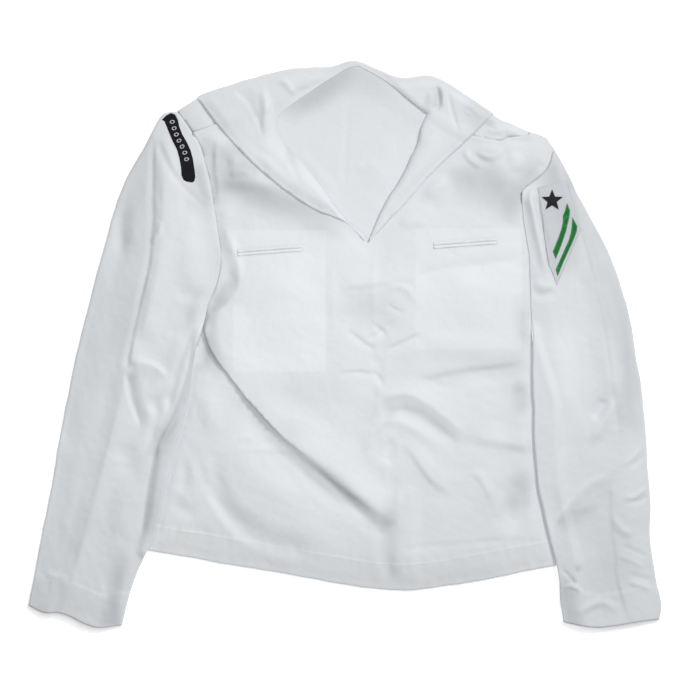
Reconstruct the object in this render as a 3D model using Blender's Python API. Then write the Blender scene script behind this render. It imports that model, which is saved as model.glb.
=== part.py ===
"""A middy shirt: a white sailor jumper laid flat on its back, its square collar flap under it.

The part's frame: +X to the right sleeve, +Y to the neck, +Z up, the origin on the surface under
the middle of the outline. Sizes are in millimetres and become metres when a mesh is made.

Each cloth piece is drawn as the outer face of its cloth, and a Solidify modifier gives it the wall,
inwards. The body and the collar are flat patterns whose upper part is rolled over the top edge.
A sleeve is a flattened tube whose sections run from the armhole to the cuff.
"""

from collections import namedtuple
from math import pi

import bpy
import numpy as np
from mathutils import Vector
from mathutils.bvhtree import BVHTree
from mathutils.geometry import delaunay_2d_cdt

MM = 0.001

# Cloth and layers
WALL = 1.2
TRIM_WALL = 0.9
TRIM_GAP = 0.35
LAYER_GAP = 0.6
SEAM_GAP = 0.6
FLAP_LIFT = WALL + LAYER_GAP
BODY_THICK = 3.2
LAPEL_LIFT = WALL + LAYER_GAP
BODY_ROLL = BODY_THICK / 2
COLLAR_ROLL = (FLAP_LIFT + BODY_THICK + LAPEL_LIFT) / 2
ROLL_CLEAR = 0.8
ROLL_BLEND = 16
FLAP_MARGIN = 3
FLAP_RAMP = 14

# Sleeves
SLEEVE_ROWS = 22
FIRST_ROW = 0.0008
BEFORE_BAND = 0.02
BAND_EDGE = 0.004
ROUND_COLUMNS = (0.0, 0.12, 0.45, 1.0)
SLEEVE_LENGTH = 610
SLEEVE_WIDTH = 120
SLEEVE_THICK = 4.6
ARMHOLE_THICK = 3.4
ARMHOLE_RISE = 36
FOLD_FREE = 24
LIFT_START = 3
LIFT_RISE = 20
LIFT_OUT = 14
LIFT_BLEND = 12
LIFT_END = 46
LIFT_FALL = 36

# Turned-up bands
HEM_BAND = 32
CUFF_BAND = 41
BAND_RISE = 0.5
SIDE_LIFT = BODY_THICK + BAND_RISE + 1.5 * LAYER_GAP

# Loft of the cloth, so that troughs have somewhere to sink to
FRONT_LOFT = 0.9
COLLAR_LOFT = 0.5
LOFT_EDGE = 12
LAPEL_EDGE = 6

# Mesh spacings, and where a sleeve's columns cross its sections
ACROSS = np.r_[0.06, np.linspace(0.125, 0.92, 9)]
SEAM_COLUMN = 2
BACK_STEP = 24
FRONT_STEP = 18
SEAM_STEP = 18
COLLAR_STEP = 17
ROLL_STEP = 13
ROLL_END_STEPS = (0.0, 1.2, 3.0, 6.0)
TRIM_STEP = 7
LINE_CLEAR = 2
GRID_CLEAR = 0.62

# A page height above all of the outline, for regions that are open at the top
PAST_TOP = 400

# The outline, as the edges between its corners. Each is a smooth line through a few points.
TOP_EDGE = (
    (-209, 292), (-185, 310), (-144, 324), (-81, 342), (-19, 348), (12, 355), (44, 342),
    (71, 334), (109, 336), (150, 314), (186, 289), (219, 271), (250, 260), (262, 244),
)
SHOULDER_SEAM_LEFT = ((-161, 275), (-119, 290), (-79, 299))
SHOULDER_SEAM_RIGHT = ((104, 291), (131, 271), (159, 260), (190, 255), (210, 254), (229, 256))
ARMHOLE_LEFT = (
    (-209, 292), (-194, 268), (-180, 244), (-169, 200), (-162, 155), (-155, 105), (-159, 76),
    (-170, 52), (-174, 33),
)
ARMHOLE_RIGHT = ((262, 244), (255, 225), (244, 210), (222, 189), (224, 150), (230, 104), (232, 35))
SIDE_LEFT = (
    (-174, 33), (-181, 6), (-193, -26), (-205, -71), (-225, -138), (-235, -200), (-248, -256),
)
SIDE_RIGHT = ((232, 35), (232, 8), (243, -24), (256, -69), (260, -131), (266, -194), (284, -272))
HEM = (
    (-248, -256), (-181, -268), (-94, -282), (6, -300), (69, -306), (131, -300), (219, -284),
    (284, -272),
)
FRONT_NECK_LEFT = ((-79, 299), (-94, 280), (-88, 252), (-50, 205), (-14, 166), (27, 124))
FRONT_NECK_RIGHT = ((104, 291), (101, 270), (95, 246), (77, 206), (54, 168), (27, 124))
BACK_NECK_DROP = 7
SHOULDER_RIGHT_X = (252.0, 242.0, 230.0)

SLEEVE_LEFT_OUTER = (
    (-209, 292), (-221, 291), (-231, 284), (-250, 248), (-281, 188), (-312, 81), (-338, -25),
    (-354, -106), (-372, -206), (-395, -324),
)
SLEEVE_LEFT_INNER = (
    (-174, 33), (-184, 2), (-190, -28), (-196, -71), (-212, -128), (-222, -169), (-235, -231),
    (-248, -256), (-265, -296), (-279, -350),
)
CUFF_LEFT = ((-395, -324), (-375, -334), (-354, -335), (-319, -350), (-302, -352), (-279, -350))
SLEEVE_RIGHT_OUTER = (
    (262, 244), (275, 219), (306, 159), (331, 112), (352, 50), (366, -31), (374, -94),
    (381, -194), (381, -250), (394, -319), (392, -342),
)
SLEEVE_RIGHT_INNER = (
    (232, 35), (234, 6), (235, -69), (236, -131), (241, -175), (251, -219), (265, -278),
    (268, -312), (272, -346),
)
CUFF_RIGHT = ((392, -342), (369, -345), (334, -351), (306, -352), (272, -346))

LAPEL_LEFT = ((-185, 310), (-164, 281), (-125, 238), (-81, 198), (-41, 171), (0, 154), (24, 130))
LAPEL_RIGHT = ((30, 130), (54, 154), (81, 184), (119, 225), (159, 261), (186, 289))
ROLL_LEFT = (
    (23, 134), (-6, 165), (-39, 210), (-78, 256), (-84, 279), (-74, 294), (-40, 319), (0, 344),
    (17, 348),
)
ROLL_TOP = ((17, 348), (50, 329), (84, 302), (102, 288))
ROLL_RIGHT = ((102, 288), (94, 269), (89, 248), (70, 210), (49, 175), (31, 136))
FLAP_SIDE_LEFT = ((-139, 79), (-139, 244))
FLAP_SIDE_RIGHT = ((191, 225), (191, 69))

# Folds. A ridge has a height over 0 and a trough one under 0. left and right are its widths on the
# two sides of the path as it runs, and fade is the share of its length over which each end tapers.
Fold = namedtuple("Fold", "height left right fade path")
FRONT_FOLDS = (
    # The long diagonal from the left underarm, steep on its lower left side
    Fold(
        3.6, 46, 7, 0.16,
        ((-172, 30), (-166, 2), (-150, -28), (-94, -93), (-41, -141), (0, -172), (52, -212)),
    ),
    Fold(-1.0, 9, 40, 0.20, ((-166, -6), (-128, -66), (-71, -128), (-3, -180), (50, -222))),
    # The trough that follows it towards the hem
    Fold(-1.1, 22, 26, 0.25, ((-175, -129), (-154, -162), (-125, -209), (-69, -238), (-20, -250))),
    # The pressed line across the chest, and the two arms of the V under it
    Fold(1.2, 30, 8, 0.12, ((0, 74), (69, 81), (150, 98), (222, 106))),
    Fold(2.2, 14, 10, 0.20, ((96, 16), (64, 2), (38, -5), (8, 12))),
    Fold(1.8, 34, 12, 0.15, ((84, -38), (131, -30), (181, -25), (226, -16))),
    # The arched fold right of the middle, and its run to the right side
    Fold(
        3.0, 18, 22, 0.12,
        ((42, -104), (46, -76), (68, -68), (106, -84), (156, -118), (206, -126), (236, -134)),
    ),
    Fold(2.0, 20, 12, 0.18, ((20, -122), (38, -102), (70, -104), (96, -150), (135, -189))),
    # The soft rise along the middle, down to the hem
    Fold(1.4, 26, 12, 0.15, ((36, 96), (38, 10), (44, -60), (48, -180), (58, -292))),
)
COLLAR_FOLDS = (
    Fold(2.4, 18, 8, 0.15, ((-122, 309), (-111, 288), (-98, 250))),
    Fold(2.8, 10, 16, 0.15, ((-88, 322), (-86, 268), (-73, 246), (-70, 214))),
    Fold(2.6, 9, 12, 0.20, ((112, 324), (118, 300), (106, 282))),
    Fold(2.0, 10, 14, 0.20, ((130, 314), (132, 298), (142, 264))),
)
SLEEVE_LEFT_FOLDS = (
    Fold(-1.8, 14, 10, 0.10, ((-240, 262), (-241, 181), (-246, 106), (-259, 44), (-270, -24))),
    Fold(2.6, 40, 7, 0.12, ((-262, 20), (-272, -34), (-291, -106), (-309, -172), (-338, -281), (-352, -330))),
    Fold(1.6, 30, 16, 0.20, ((-214, -74), (-236, -122), (-262, -190))),
)
SLEEVE_RIGHT_FOLDS = (
    Fold(2.4, 22, 9, 0.12, ((276, 204), (294, 144), (319, 44), (336, -56), (318, -98))),
    Fold(2.0, 18, 12, 0.15, ((334, -150), (334, -206), (346, -262), (351, -336))),
    Fold(1.6, 12, 26, 0.20, ((246, 150), (250, 60), (252, -60))),
)

# Trims, by their ends or corners
Welt = namedtuple("Welt", "name left right")
WELTS = (
    Welt("pocket_left", (-134, 114), (-54, 120)),
    Welt("pocket_right", (110, 123), (189, 129)),
)
WELT_HEIGHT = 4.2
WELT_SLIT = 0.6
TAPE_FROM_SEAM = 6
TAPE_WIDTH = 17
TAPE_LENGTH = 108
TAPE_TOP = 286
PATCH = ((240, 196), (276, 205), (294, 144), (264, 74), (254, 100))
STRIPE_WIDTH = 8
STRIPES = {
    "stripe_upper": ((274, 172), (275, 150), (268, 128), (260, 108)),
    "stripe_lower": ((284, 156), (286, 140), (278, 117), (268, 96)),
}
MOTIF_CENTRE = (259, 182)
MOTIF_OUTER = 13
MOTIF_INNER = 5.5
MOTIF_POINTS = 5

# Finishes: colour, roughness, metallic
WHITE_TWILL = ((0.80, 0.815, 0.84), 0.85, 0.0)
WHITE_PATCH = ((0.72, 0.735, 0.76), 0.85, 0.0)
BLACK_TAPE = ((0.012, 0.012, 0.014), 0.75, 0.0)
BLACK_THREAD = ((0.010, 0.010, 0.012), 0.70, 0.0)
GREEN_FELT = ((0.03, 0.24, 0.06), 0.90, 0.0)


def lengths_along(line):
    """How far along a line each of its points is."""
    return np.r_[0, np.cumsum(np.linalg.norm(np.diff(line, axis=0), axis=1))]


def read_at(line, stations):
    """The points of a line at these distances along it."""
    lengths = lengths_along(line)
    return np.column_stack([np.interp(stations, lengths, line[:, axis]) for axis in (0, 1)])


def sideways(line):
    """The unit vector to the left of a line's run, at each of its points."""
    run = np.gradient(line, axis=0)
    return np.column_stack([-run[:, 1], run[:, 0]]) / np.linalg.norm(run, axis=1)[:, None]


def smooth_line(points, step, corners=False):
    """The points of a smooth curve through the given ones, about a step apart."""
    knots = np.array(points, float)
    if len(knots) == 2 or corners:
        dense = knots
    else:
        ends = (2 * knots[:1] - knots[1:2], knots, 2 * knots[-1:] - knots[-2:-1])
        padded = np.vstack(ends)
        share = np.linspace(0, 1, 12, endpoint=False)[:, None]
        spans = []
        for before, start, end, after in zip(padded, padded[1:], padded[2:], padded[3:]):
            curve = (
                2 * start
                + (end - before) * share
                + (2 * before - 5 * start + 4 * end - after) * share**2
                + (3 * start - before - 3 * end + after) * share**3
            )
            spans.append(curve / 2)
        dense = np.vstack(spans + [knots[-1:]])
    lengths = lengths_along(dense)
    stations = np.linspace(0, lengths[-1], max(2, round(lengths[-1] / step) + 1))
    if corners:
        stations = np.unique(np.round(np.r_[stations, lengths], 6))
    return read_at(dense, stations)


def joined(*lines):
    """One closed outline from edges that meet end to end."""
    return np.vstack([line[:-1] for line in lines])


def along(path, places):
    """Each place's signed distance from a path, left of its run positive, and its share along it."""
    starts, runs = path[:-1], np.diff(path, axis=0)
    squares = (runs**2).sum(axis=1)
    offsets = places[:, None] - starts
    shares = np.clip((offsets * runs).sum(axis=2) / squares, 0, 1)
    gaps = offsets - shares[..., None] * runs
    distances = np.linalg.norm(gaps, axis=2)
    nearest = distances.argmin(axis=1)
    rows = np.arange(len(places))
    run, offset = runs[nearest], offsets[rows, nearest]
    side = np.where(run[:, 0] * offset[:, 1] >= run[:, 1] * offset[:, 0], 1, -1)
    lengths = np.r_[0, np.cumsum(np.sqrt(squares))]
    reached = lengths[nearest] + shares[rows, nearest] * np.sqrt(squares)[nearest]
    return side * distances[rows, nearest], reached / lengths[-1]


def inside(outline, places):
    """Whether each place lies inside a closed outline."""
    x, y = places[:, :1], places[:, 1:]
    x0, y0 = outline.T
    x1, y1 = np.roll(outline, -1, axis=0).T
    crosses = (y0 > y) != (y1 > y)
    reach = x0 + (y - y0) * (x1 - x0) / np.where(y1 == y0, 1, y1 - y0)
    return (crosses & (x < reach)).sum(axis=1) % 2 == 1


def closed(outline):
    """An outline with its first point again at its end."""
    return np.vstack([outline, outline[:1]])


def eased(value):
    """A smooth step from 0 to 1."""
    value = np.clip(value, 0, 1)
    return value * value * (3 - 2 * value)


def relief(folds, places):
    """The sum of the folds' heights at each place."""
    total = np.zeros(len(places))
    for fold in folds:
        distance, share = along(smooth_line(fold.path, 8), places)
        width = np.where(distance > 0, fold.left, fold.right)
        ends = eased(share / fold.fade) * eased((1 - share) / fold.fade)
        total += fold.height * ends * eased(1 - abs(distance) / width)
    return total


def fold_lines(folds, step):
    """A line along the crest of each fold and one along the foot of its steep side."""
    lines = []
    for fold in folds:
        crest = smooth_line(fold.path, step)
        steep = fold.left if fold.left < fold.right else -fold.right
        lines.append(crest)
        lines.append((crest + sideways(crest) * steep)[1:-1])
    return lines


def top_edge(x):
    """The height on the page of the garment's top edge at each x."""
    line = smooth_line(TOP_EDGE, 4)
    return np.interp(x, line[:, 0], line[:, 1])


def body_top(x):
    """The body's top edge, which lies inside the collar's roll and meets the outline beside it."""
    past_left, past_right = x - LAPEL_LEFT[0][0], LAPEL_RIGHT[-1][0] - x
    covered = eased(past_left / ROLL_BLEND + 1.5) * eased(past_right / ROLL_BLEND + 1.5)
    return top_edge(x) - covered * (COLLAR_ROLL - BODY_ROLL + ROLL_CLEAR)


def flap_outline():
    """The collar's square flap under the back, from the left end of its roll to the right end."""
    (low_left, high_left), (high_right, low_right) = FLAP_SIDE_LEFT, FLAP_SIDE_RIGHT
    return [
        smooth_line((LAPEL_LEFT[0], high_left, low_left), COLLAR_STEP, True),
        smooth_line((low_left, low_right), COLLAR_STEP),
        smooth_line((low_right, high_right, LAPEL_RIGHT[-1]), COLLAR_STEP, True),
    ]


def under_lift(places):
    """How far the flap under the back raises what lies on it."""
    left, right = LAPEL_LEFT[0], LAPEL_RIGHT[-1]
    top = smooth_line((right, (right[0], PAST_TOP), (left[0], PAST_TOP), left), COLLAR_STEP, True)
    region = joined(*flap_outline(), top)
    distance = abs(along(closed(region), places)[0])
    distance[inside(region, places)] = 0
    return FLAP_LIFT * eased(1 - (distance - FLAP_MARGIN) / FLAP_RAMP)


def collar_cover():
    """The outline of what the collar's lapels cover, its neck opening filled."""
    top = smooth_line(TOP_EDGE, 10)
    top = top[(top[:, 0] > LAPEL_LEFT[0][0]) & (top[:, 0] < LAPEL_RIGHT[-1][0])]
    return joined(smooth_line(LAPEL_LEFT, 10), smooth_line(LAPEL_RIGHT, 10), closed(top[::-1]))


def at_shares(points, shares):
    """Points of a smooth curve at shares of its length."""
    dense = smooth_line(points, 2)
    return read_at(dense, shares * lengths_along(dense)[-1])


def armhole(points):
    """An armhole from the shoulder to the underarm, with the same points for all that meet there."""
    return at_shares(points, np.r_[0, ACROSS, 1])


def shoulder_seams():
    """The shoulder seams: the left one from its armhole to the neck, the right one from the neck."""
    start = armhole(ARMHOLE_LEFT)[SEAM_COLUMN]
    left = smooth_line((start, *SHOULDER_SEAM_LEFT), SEAM_STEP)
    return left, smooth_line(SHOULDER_SEAM_RIGHT, SEAM_STEP)


def body_outline():
    """The front's outline: shoulder seams, armholes, sides, hem and the V of the neck."""
    seam_left, seam_right = shoulder_seams()
    left, right = armhole(ARMHOLE_LEFT), armhole(ARMHOLE_RIGHT)
    shoulder_x = np.array(SHOULDER_RIGHT_X)
    shoulder = np.column_stack([shoulder_x, body_top(shoulder_x) - SEAM_GAP])
    return joined(
        seam_left[::-1],
        left[SEAM_COLUMN:],
        smooth_line(SIDE_LEFT, FRONT_STEP),
        smooth_line(HEM, FRONT_STEP),
        smooth_line(SIDE_RIGHT[::-1], FRONT_STEP),
        right[::-1],
        np.vstack([right[:1], shoulder, seam_right[-1:]]),
        seam_right[::-1],
        smooth_line(FRONT_NECK_RIGHT, FRONT_STEP),
        smooth_line(FRONT_NECK_LEFT[::-1], FRONT_STEP),
    )


def inset(outline, amount):
    """A closed outline that runs against the hands of a clock, moved inwards."""
    before, after = np.roll(outline, 1, axis=0), np.roll(outline, -1, axis=0)
    run = (outline - before) / np.linalg.norm(outline - before, axis=1)[:, None]
    run = run + (after - outline) / np.linalg.norm(after - outline, axis=1)[:, None]
    length = np.maximum(np.linalg.norm(run, axis=1), 0.6)[:, None]
    return outline + amount * np.column_stack([-run[:, 1], run[:, 0]]) / length


def body_base(places):
    """The front's outer face before its folds."""
    return under_lift(places) + BODY_THICK


def front_height(places):
    """The front's outer face: its loft and folds, which die out at seams and under what covers it."""
    outline = closed(body_outline())
    edge = abs(along(outline, places)[0])
    hem = along(smooth_line(HEM, 12), places)[0]
    cover = collar_cover()
    lapel = abs(along(closed(cover), places)[0]) * np.where(inside(cover, places), 0, 1)
    free = eased(edge / LOFT_EDGE) * eased(lapel / LOFT_EDGE)
    for line, side in ((SLEEVE_LEFT_INNER, 1), (SLEEVE_RIGHT_INNER, -1)):
        past = side * along(smooth_line(line, 12), places)[0]
        free *= np.where(places[:, 1] < line[0][1] + 4, eased(past / LOFT_EDGE), 1)
    band = BAND_RISE * eased((HEM_BAND + 2 - abs(hem)) / 3)
    raised = np.maximum(FRONT_LOFT + relief(FRONT_FOLDS, places), 0)
    return body_base(places) + band + free * raised


def lapel_height(places):
    """The lapels' outer face: their loft and folds over what they lie on."""
    from_roll = top_edge(places[:, 0]) - COLLAR_ROLL - places[:, 1]
    edge = np.min([abs(along(line, places)[0]) for line in lapel_edges()], axis=0)
    free = eased(from_roll / LOFT_EDGE) * eased(edge / LAPEL_EDGE)
    raised = np.maximum(COLLAR_LOFT + relief(COLLAR_FOLDS, places), 0)
    return body_base(places) + LAPEL_LIFT + free * raised


def rolled(pattern, top, radius, low, high):
    """A flat pattern laid out face down, with what passes the top edge rolled over on to the front.

    A pattern point holds its x, and how much cloth lies between it and the start of the roll.
    """
    x, past = pattern.T
    angle = np.clip(past / radius, 0, pi)
    over = np.maximum(past - pi * radius, 0)
    y = top(x) - radius + np.where(past < 0, past, radius * np.sin(angle) - over)
    places = np.column_stack([x, y])
    share = (1 - np.cos(angle)) / 2
    z = low(places) * (1 - share) + high(places) * share
    return np.column_stack([places, z])


def unrolled(places, top, radius, below=False):
    """The pattern points of places on the rolled-over part, or on the part below it."""
    start = top(places[:, 0]) - radius
    turn = np.arcsin(np.clip((places[:, 1] - start) / radius, 0, 1))
    short = np.maximum(start - places[:, 1], 0)
    past = turn * radius - short if below else (pi - turn) * radius + short
    return np.column_stack([places[:, 0], past])


def roll_rows(radius, left, right):
    """Lines across a pattern that divide its roll into flat strips, at the same x for all patterns."""
    x = np.arange(TOP_EDGE[0][0], TOP_EDGE[-1][0], ROLL_STEP)
    x = x[(x > left) & (x < right)]
    shares = np.linspace(0, 1, 6)
    return [np.column_stack([x, np.full(len(x), share * pi * radius)]) for share in shares]


def filled(outline, lines, step):
    """The points and triangles of an outline, with edges along the lines and a grid between them."""
    points = [outline]
    edges = [[(i, (i + 1) % len(outline)) for i in range(len(outline))]]
    count = len(outline)
    rim = closed(outline)
    for line in lines:
        keep = inside(outline, line) & (abs(along(rim, line)[0]) > LINE_CLEAR)
        index = np.where(keep, count + np.cumsum(keep) - 1, -1)
        edges.append([(a, b) for a, b in zip(index, index[1:]) if a >= 0 and b >= 0])
        points.append(line[keep])
        count += keep.sum()
    low, high = outline.min(axis=0), outline.max(axis=0)
    x, y = np.meshgrid(np.arange(low[0], high[0], step), np.arange(low[1], high[1], step * 3**0.5 / 2))
    x[1::2] += step / 2
    grid = np.column_stack([x.ravel(), y.ravel()])
    grid = grid[inside(outline, grid)]
    near = abs(along(rim, grid)[0])
    for line in lines:
        near = np.minimum(near, abs(along(line, grid)[0]))
    points.append(grid[near > GRID_CLEAR * step])
    corners = [Vector(point) for point in np.vstack(points)]
    pairs = [(int(a), int(b)) for a, b in sum(edges, [])]
    placed, _, faces, *_ = delaunay_2d_cdt(corners, pairs, [], 1, 1e-4)
    return np.array([tuple(point) for point in placed]), [tuple(face) for face in faces]


def material(name, finish):
    """A plain cloth material."""
    colour, roughness, metallic = finish
    made = bpy.data.materials.new(name)
    made.use_nodes = True
    shader = made.node_tree.nodes["Principled BSDF"]
    shader.inputs["Base Color"].default_value = (*colour, 1)
    shader.inputs["Roughness"].default_value = roughness
    shader.inputs["Metallic"].default_value = metallic
    made.diffuse_color = (*colour, 1)
    return made


def cloth_piece(name, points, faces, finish, wall=WALL, turned=False):
    """One piece of cloth: its outer face as a mesh, turned over if asked, and a wall inwards from it."""
    mesh = bpy.data.meshes.new(name)
    mesh.from_pydata([tuple(point) for point in np.asarray(points) * MM], [], faces)
    if turned:
        mesh.flip_normals()
    mesh.shade_smooth()
    mesh.materials.append(finish)
    piece = bpy.data.objects.new(name, mesh)
    bpy.context.scene.collection.objects.link(piece)
    thickness = piece.modifiers.new("Wall", "SOLIDIFY")
    thickness.thickness = wall * MM
    thickness.offset = -1
    thickness.use_quality_normals = True
    return piece


def back_panel(finish):
    """The back: flat under the body, over the shoulder edge and down to the shoulder seams."""

    def down(line):
        return unrolled(line, body_top, BODY_ROLL, below=True)

    def up(line):
        return unrolled(line, body_top, BODY_ROLL)

    def edge(x, drop):
        return down(np.column_stack([x, body_top(x) - drop]))

    left, right = armhole(ARMHOLE_LEFT), armhole(ARMHOLE_RIGHT)
    seam_left, seam_right = shoulder_seams()
    left_neck, right_neck = seam_left[-1, 0], seam_right[0, 0]
    below = joined(
        left,
        smooth_line(SIDE_LEFT, BACK_STEP),
        smooth_line(HEM, BACK_STEP),
        smooth_line(SIDE_RIGHT[::-1], BACK_STEP),
        right[::-1],
    )
    outline = np.vstack([
        down(below),
        edge(np.array([258, *SHOULDER_RIGHT_X[:-1], seam_right[-1, 0]]), BODY_ROLL),
        up(seam_right[::-1]),
        edge(np.array([right_neck]), BODY_ROLL),
        edge(np.linspace(right_neck, left_neck, 10)[1:-1], BACK_NECK_DROP),
        edge(np.array([left_neck]), BODY_ROLL),
        up(seam_left[::-1]),
        up(left[1:SEAM_COLUMN]),
    ])
    outline = inset(outline, SEAM_GAP / 2)
    lines = roll_rows(BODY_ROLL, left[0, 0], left_neck)
    lines += roll_rows(BODY_ROLL, right_neck, seam_right[-1, 0])
    flap = joined(*flap_outline())
    lines += [down(inset(flap, -FLAP_MARGIN - ramp)) for ramp in (0, FLAP_RAMP)]
    pattern, faces = filled(outline, lines, BACK_STEP)
    points = rolled(pattern, body_top, BODY_ROLL, under_lift, body_base)
    return cloth_piece("back_panel", points, faces, finish, turned=True)


def front_panel(finish):
    """The front: its turned-up hem, its loft and its largest folds."""
    outline = inset(body_outline(), SEAM_GAP / 2)
    hem = smooth_line(HEM, FRONT_STEP)
    band = [hem + (0, HEM_BAND), hem + (0, HEM_BAND + 3)]
    covers = [smooth_line(line, FRONT_STEP) for line in (SLEEVE_LEFT_INNER, SLEEVE_RIGHT_INNER)]
    covers += [smooth_line(line, FRONT_STEP) for line in (LAPEL_LEFT, LAPEL_RIGHT)]
    lines = covers + band + fold_lines(FRONT_FOLDS, FRONT_STEP)
    places, faces = filled(outline, lines, FRONT_STEP)
    points = np.column_stack([places, front_height(places)])
    return cloth_piece("front_panel", points, faces, finish)


def lapel_edges():
    """The edges of the collar's visible part, from the left lapel's top round to the right one's."""
    step = COLLAR_STEP * 0.8
    return (
        smooth_line(LAPEL_LEFT, step),
        smooth_line((LAPEL_LEFT[-1], ROLL_LEFT[0]), step),
        smooth_line(ROLL_LEFT, step),
        smooth_line(ROLL_TOP, step),
        smooth_line(ROLL_RIGHT, step),
        smooth_line((ROLL_RIGHT[-1], LAPEL_RIGHT[0]), step),
        smooth_line(LAPEL_RIGHT, step),
    )


def round_end(line):
    """A line that leaves the roll's end, with points close to it that follow the roll round."""
    near = read_at(line, np.array(ROLL_END_STEPS))
    return np.vstack([near, line[1:]])


def collar(finish):
    """The collar: its flap under the back, its roll round the neck and its two lapels."""
    visible, flap = list(lapel_edges()), flap_outline()
    for lines in (visible, flap):
        lines[0] = round_end(lines[0])
        lines[-1] = round_end(lines[-1][::-1])[::-1]
    upper = unrolled(np.vstack([joined(*visible), visible[-1][-1:]]), top_edge, COLLAR_ROLL)
    under = unrolled(joined(*flap)[1:], top_edge, COLLAR_ROLL, below=True)
    outline = np.vstack([under, upper[::-1]])
    lines = roll_rows(COLLAR_ROLL, LAPEL_LEFT[0][0], LAPEL_RIGHT[-1][0])
    lines += [unrolled(line, top_edge, COLLAR_ROLL) for line in fold_lines(COLLAR_FOLDS, COLLAR_STEP)]
    pattern, faces = filled(outline, lines, COLLAR_STEP)
    points = rolled(pattern, top_edge, COLLAR_ROLL, lambda places: np.zeros(len(places)), lapel_height)
    return cloth_piece("collar", points, faces, finish, turned=True)


def sleeve_sections(outer, inner, seam, cuff, rows, across):
    """Plan points of the sections from the armhole to the cuff, as a Coons patch of the four edges."""
    u, v = rows[:, None, None], across[None, :, None]
    sides = (1 - v) * at_shares(outer, rows)[:, None] + v * at_shares(inner, rows)[:, None]
    ends = (1 - u) * at_shares(seam, across)[None] + u * at_shares(cuff, across)[None]
    first, last = np.array(outer[0], float), np.array(outer[-1], float)
    first_in, last_in = np.array(inner[0], float), np.array(inner[-1], float)
    corners = (1 - u) * ((1 - v) * first + v * first_in) + u * ((1 - v) * last + v * last_in)
    return sides + ends - corners


def sleeve_lift(places, seam, body_side, side):
    """How far a sleeve's lower wall is raised where it lies on the body's side."""
    into_body = side * along(smooth_line(body_side, 10), places)[0]
    below_seam = seam[-1][1] - LIFT_START - places[:, 1]
    above_end = places[:, 1] - body_side[-1][1] + LIFT_END
    over = eased((into_body + LIFT_OUT) / LIFT_BLEND)
    return SIDE_LIFT * over * eased(below_seam / LIFT_RISE) * eased(above_end / LIFT_FALL)


def sleeve_thickness(places, seam, cuff, folds):
    """A sleeve's whole thickness: flat at the armhole, with its folds, and more at the turned-up cuff."""
    from_seam = abs(along(smooth_line(seam, 8), places)[0])
    from_cuff = abs(along(smooth_line(cuff, 12), places)[0])
    thick = ARMHOLE_THICK + (SLEEVE_THICK - ARMHOLE_THICK) * eased(from_seam / ARMHOLE_RISE)
    thick += BAND_RISE * eased((CUFF_BAND - from_cuff) / 3 + 1)
    thick += relief(folds, places) * eased(from_seam / FOLD_FREE)
    return np.maximum(thick, 2 * WALL + LAYER_GAP)


def sleeve(name, outer, inner, seam, cuff, folds, body_side, side, finish):
    """A sleeve: a flattened tube from the armhole to its turned-up cuff. side is 1 left of the body."""
    band = CUFF_BAND / SLEEVE_LENGTH
    length_rows = np.linspace(FIRST_ROW, 1 - band - BEFORE_BAND, SLEEVE_ROWS)
    rows = np.r_[length_rows, 1 - band - BAND_EDGE, 1 - band, 1 - band / 2, 1]
    rim = SLEEVE_THICK / 2 / SLEEVE_WIDTH
    edge = np.array(ROUND_COLUMNS) * rim
    across = np.r_[edge, ACROSS, 1 - edge[::-1]]
    walls = []
    for shares, upper in ((across, 1), (across[-2:0:-1], -1)):
        plan = sleeve_sections(outer, inner, seam, cuff, rows, shares)
        places = plan.reshape(-1, 2)
        roundness = np.sqrt(1 - (1 - np.clip(np.minimum(shares, 1 - shares) / rim, 0, 1)) ** 2)
        half = sleeve_thickness(places, seam, cuff, folds).reshape(plan.shape[:2]) / 2
        low = sleeve_lift(places, seam, body_side, side).reshape(plan.shape[:2])
        walls.append(np.dstack([plan, low + half + upper * half * roundness]))
    rings = np.concatenate(walls, axis=1)
    count = rings.shape[1]
    faces = []
    for row in range(len(rows) - 1):
        for column in range(count):
            near, far = row * count + column, row * count + (column + 1) % count
            faces.append((near, far, far + count, near + count))
    return cloth_piece(name, rings.reshape(-1, 3), faces, finish, turned=side == 1)


def surface_of(piece):
    """A piece's outer face, to lay trims on."""
    graph = bpy.context.evaluated_depsgraph_get()
    return BVHTree.FromObject(piece, graph)


def laid_on(surface, places, reach):
    """The height of a surface over each place: the highest of what lies within reach of it."""
    around = [(0, 0)] + [(reach * np.cos(a), reach * np.sin(a)) for a in np.arange(8) * pi / 4]
    heights = []
    for x, y in places:
        found = []
        for dx, dy in around:
            hit = surface.ray_cast(Vector(((x + dx) * MM, (y + dy) * MM, 0.1)), Vector((0, 0, -1)))[0]
            if hit is not None:
                found.append(hit.z / MM)
        heights.append(max(found))
    return np.array(heights)


def trim(name, outline, surface, finish, step=TRIM_STEP):
    """A flat trim that follows the face of the piece under it, a layer's gap above."""
    places, faces = filled(outline, [], step)
    z = laid_on(surface, places, step * 0.6) + TRIM_GAP + TRIM_WALL
    return cloth_piece(name, np.column_stack([places, z]), faces, finish, wall=TRIM_WALL)


def strip_outline(path, width, step):
    """The outline of a strip of even width along a path."""
    line = smooth_line(path, step)
    half = sideways(line) * width / 2
    return np.vstack([line - half, (line + half)[::-1]])


def pocket_welts(surface, finish):
    """The two lips of each slanted pocket, with the closed slit between them."""
    for welt in WELTS:
        left, right = np.array(welt.left, float), np.array(welt.right, float)
        across = (WELT_HEIGHT + WELT_SLIT) / 2
        for part, side in (("upper", 1), ("lower", -1)):
            path = (left + (0, side * across), right + (0, side * across))
            outline = strip_outline(path, WELT_HEIGHT, TRIM_STEP)
            trim(f"{welt.name}_{part}_welt", outline, surface, finish)


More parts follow.
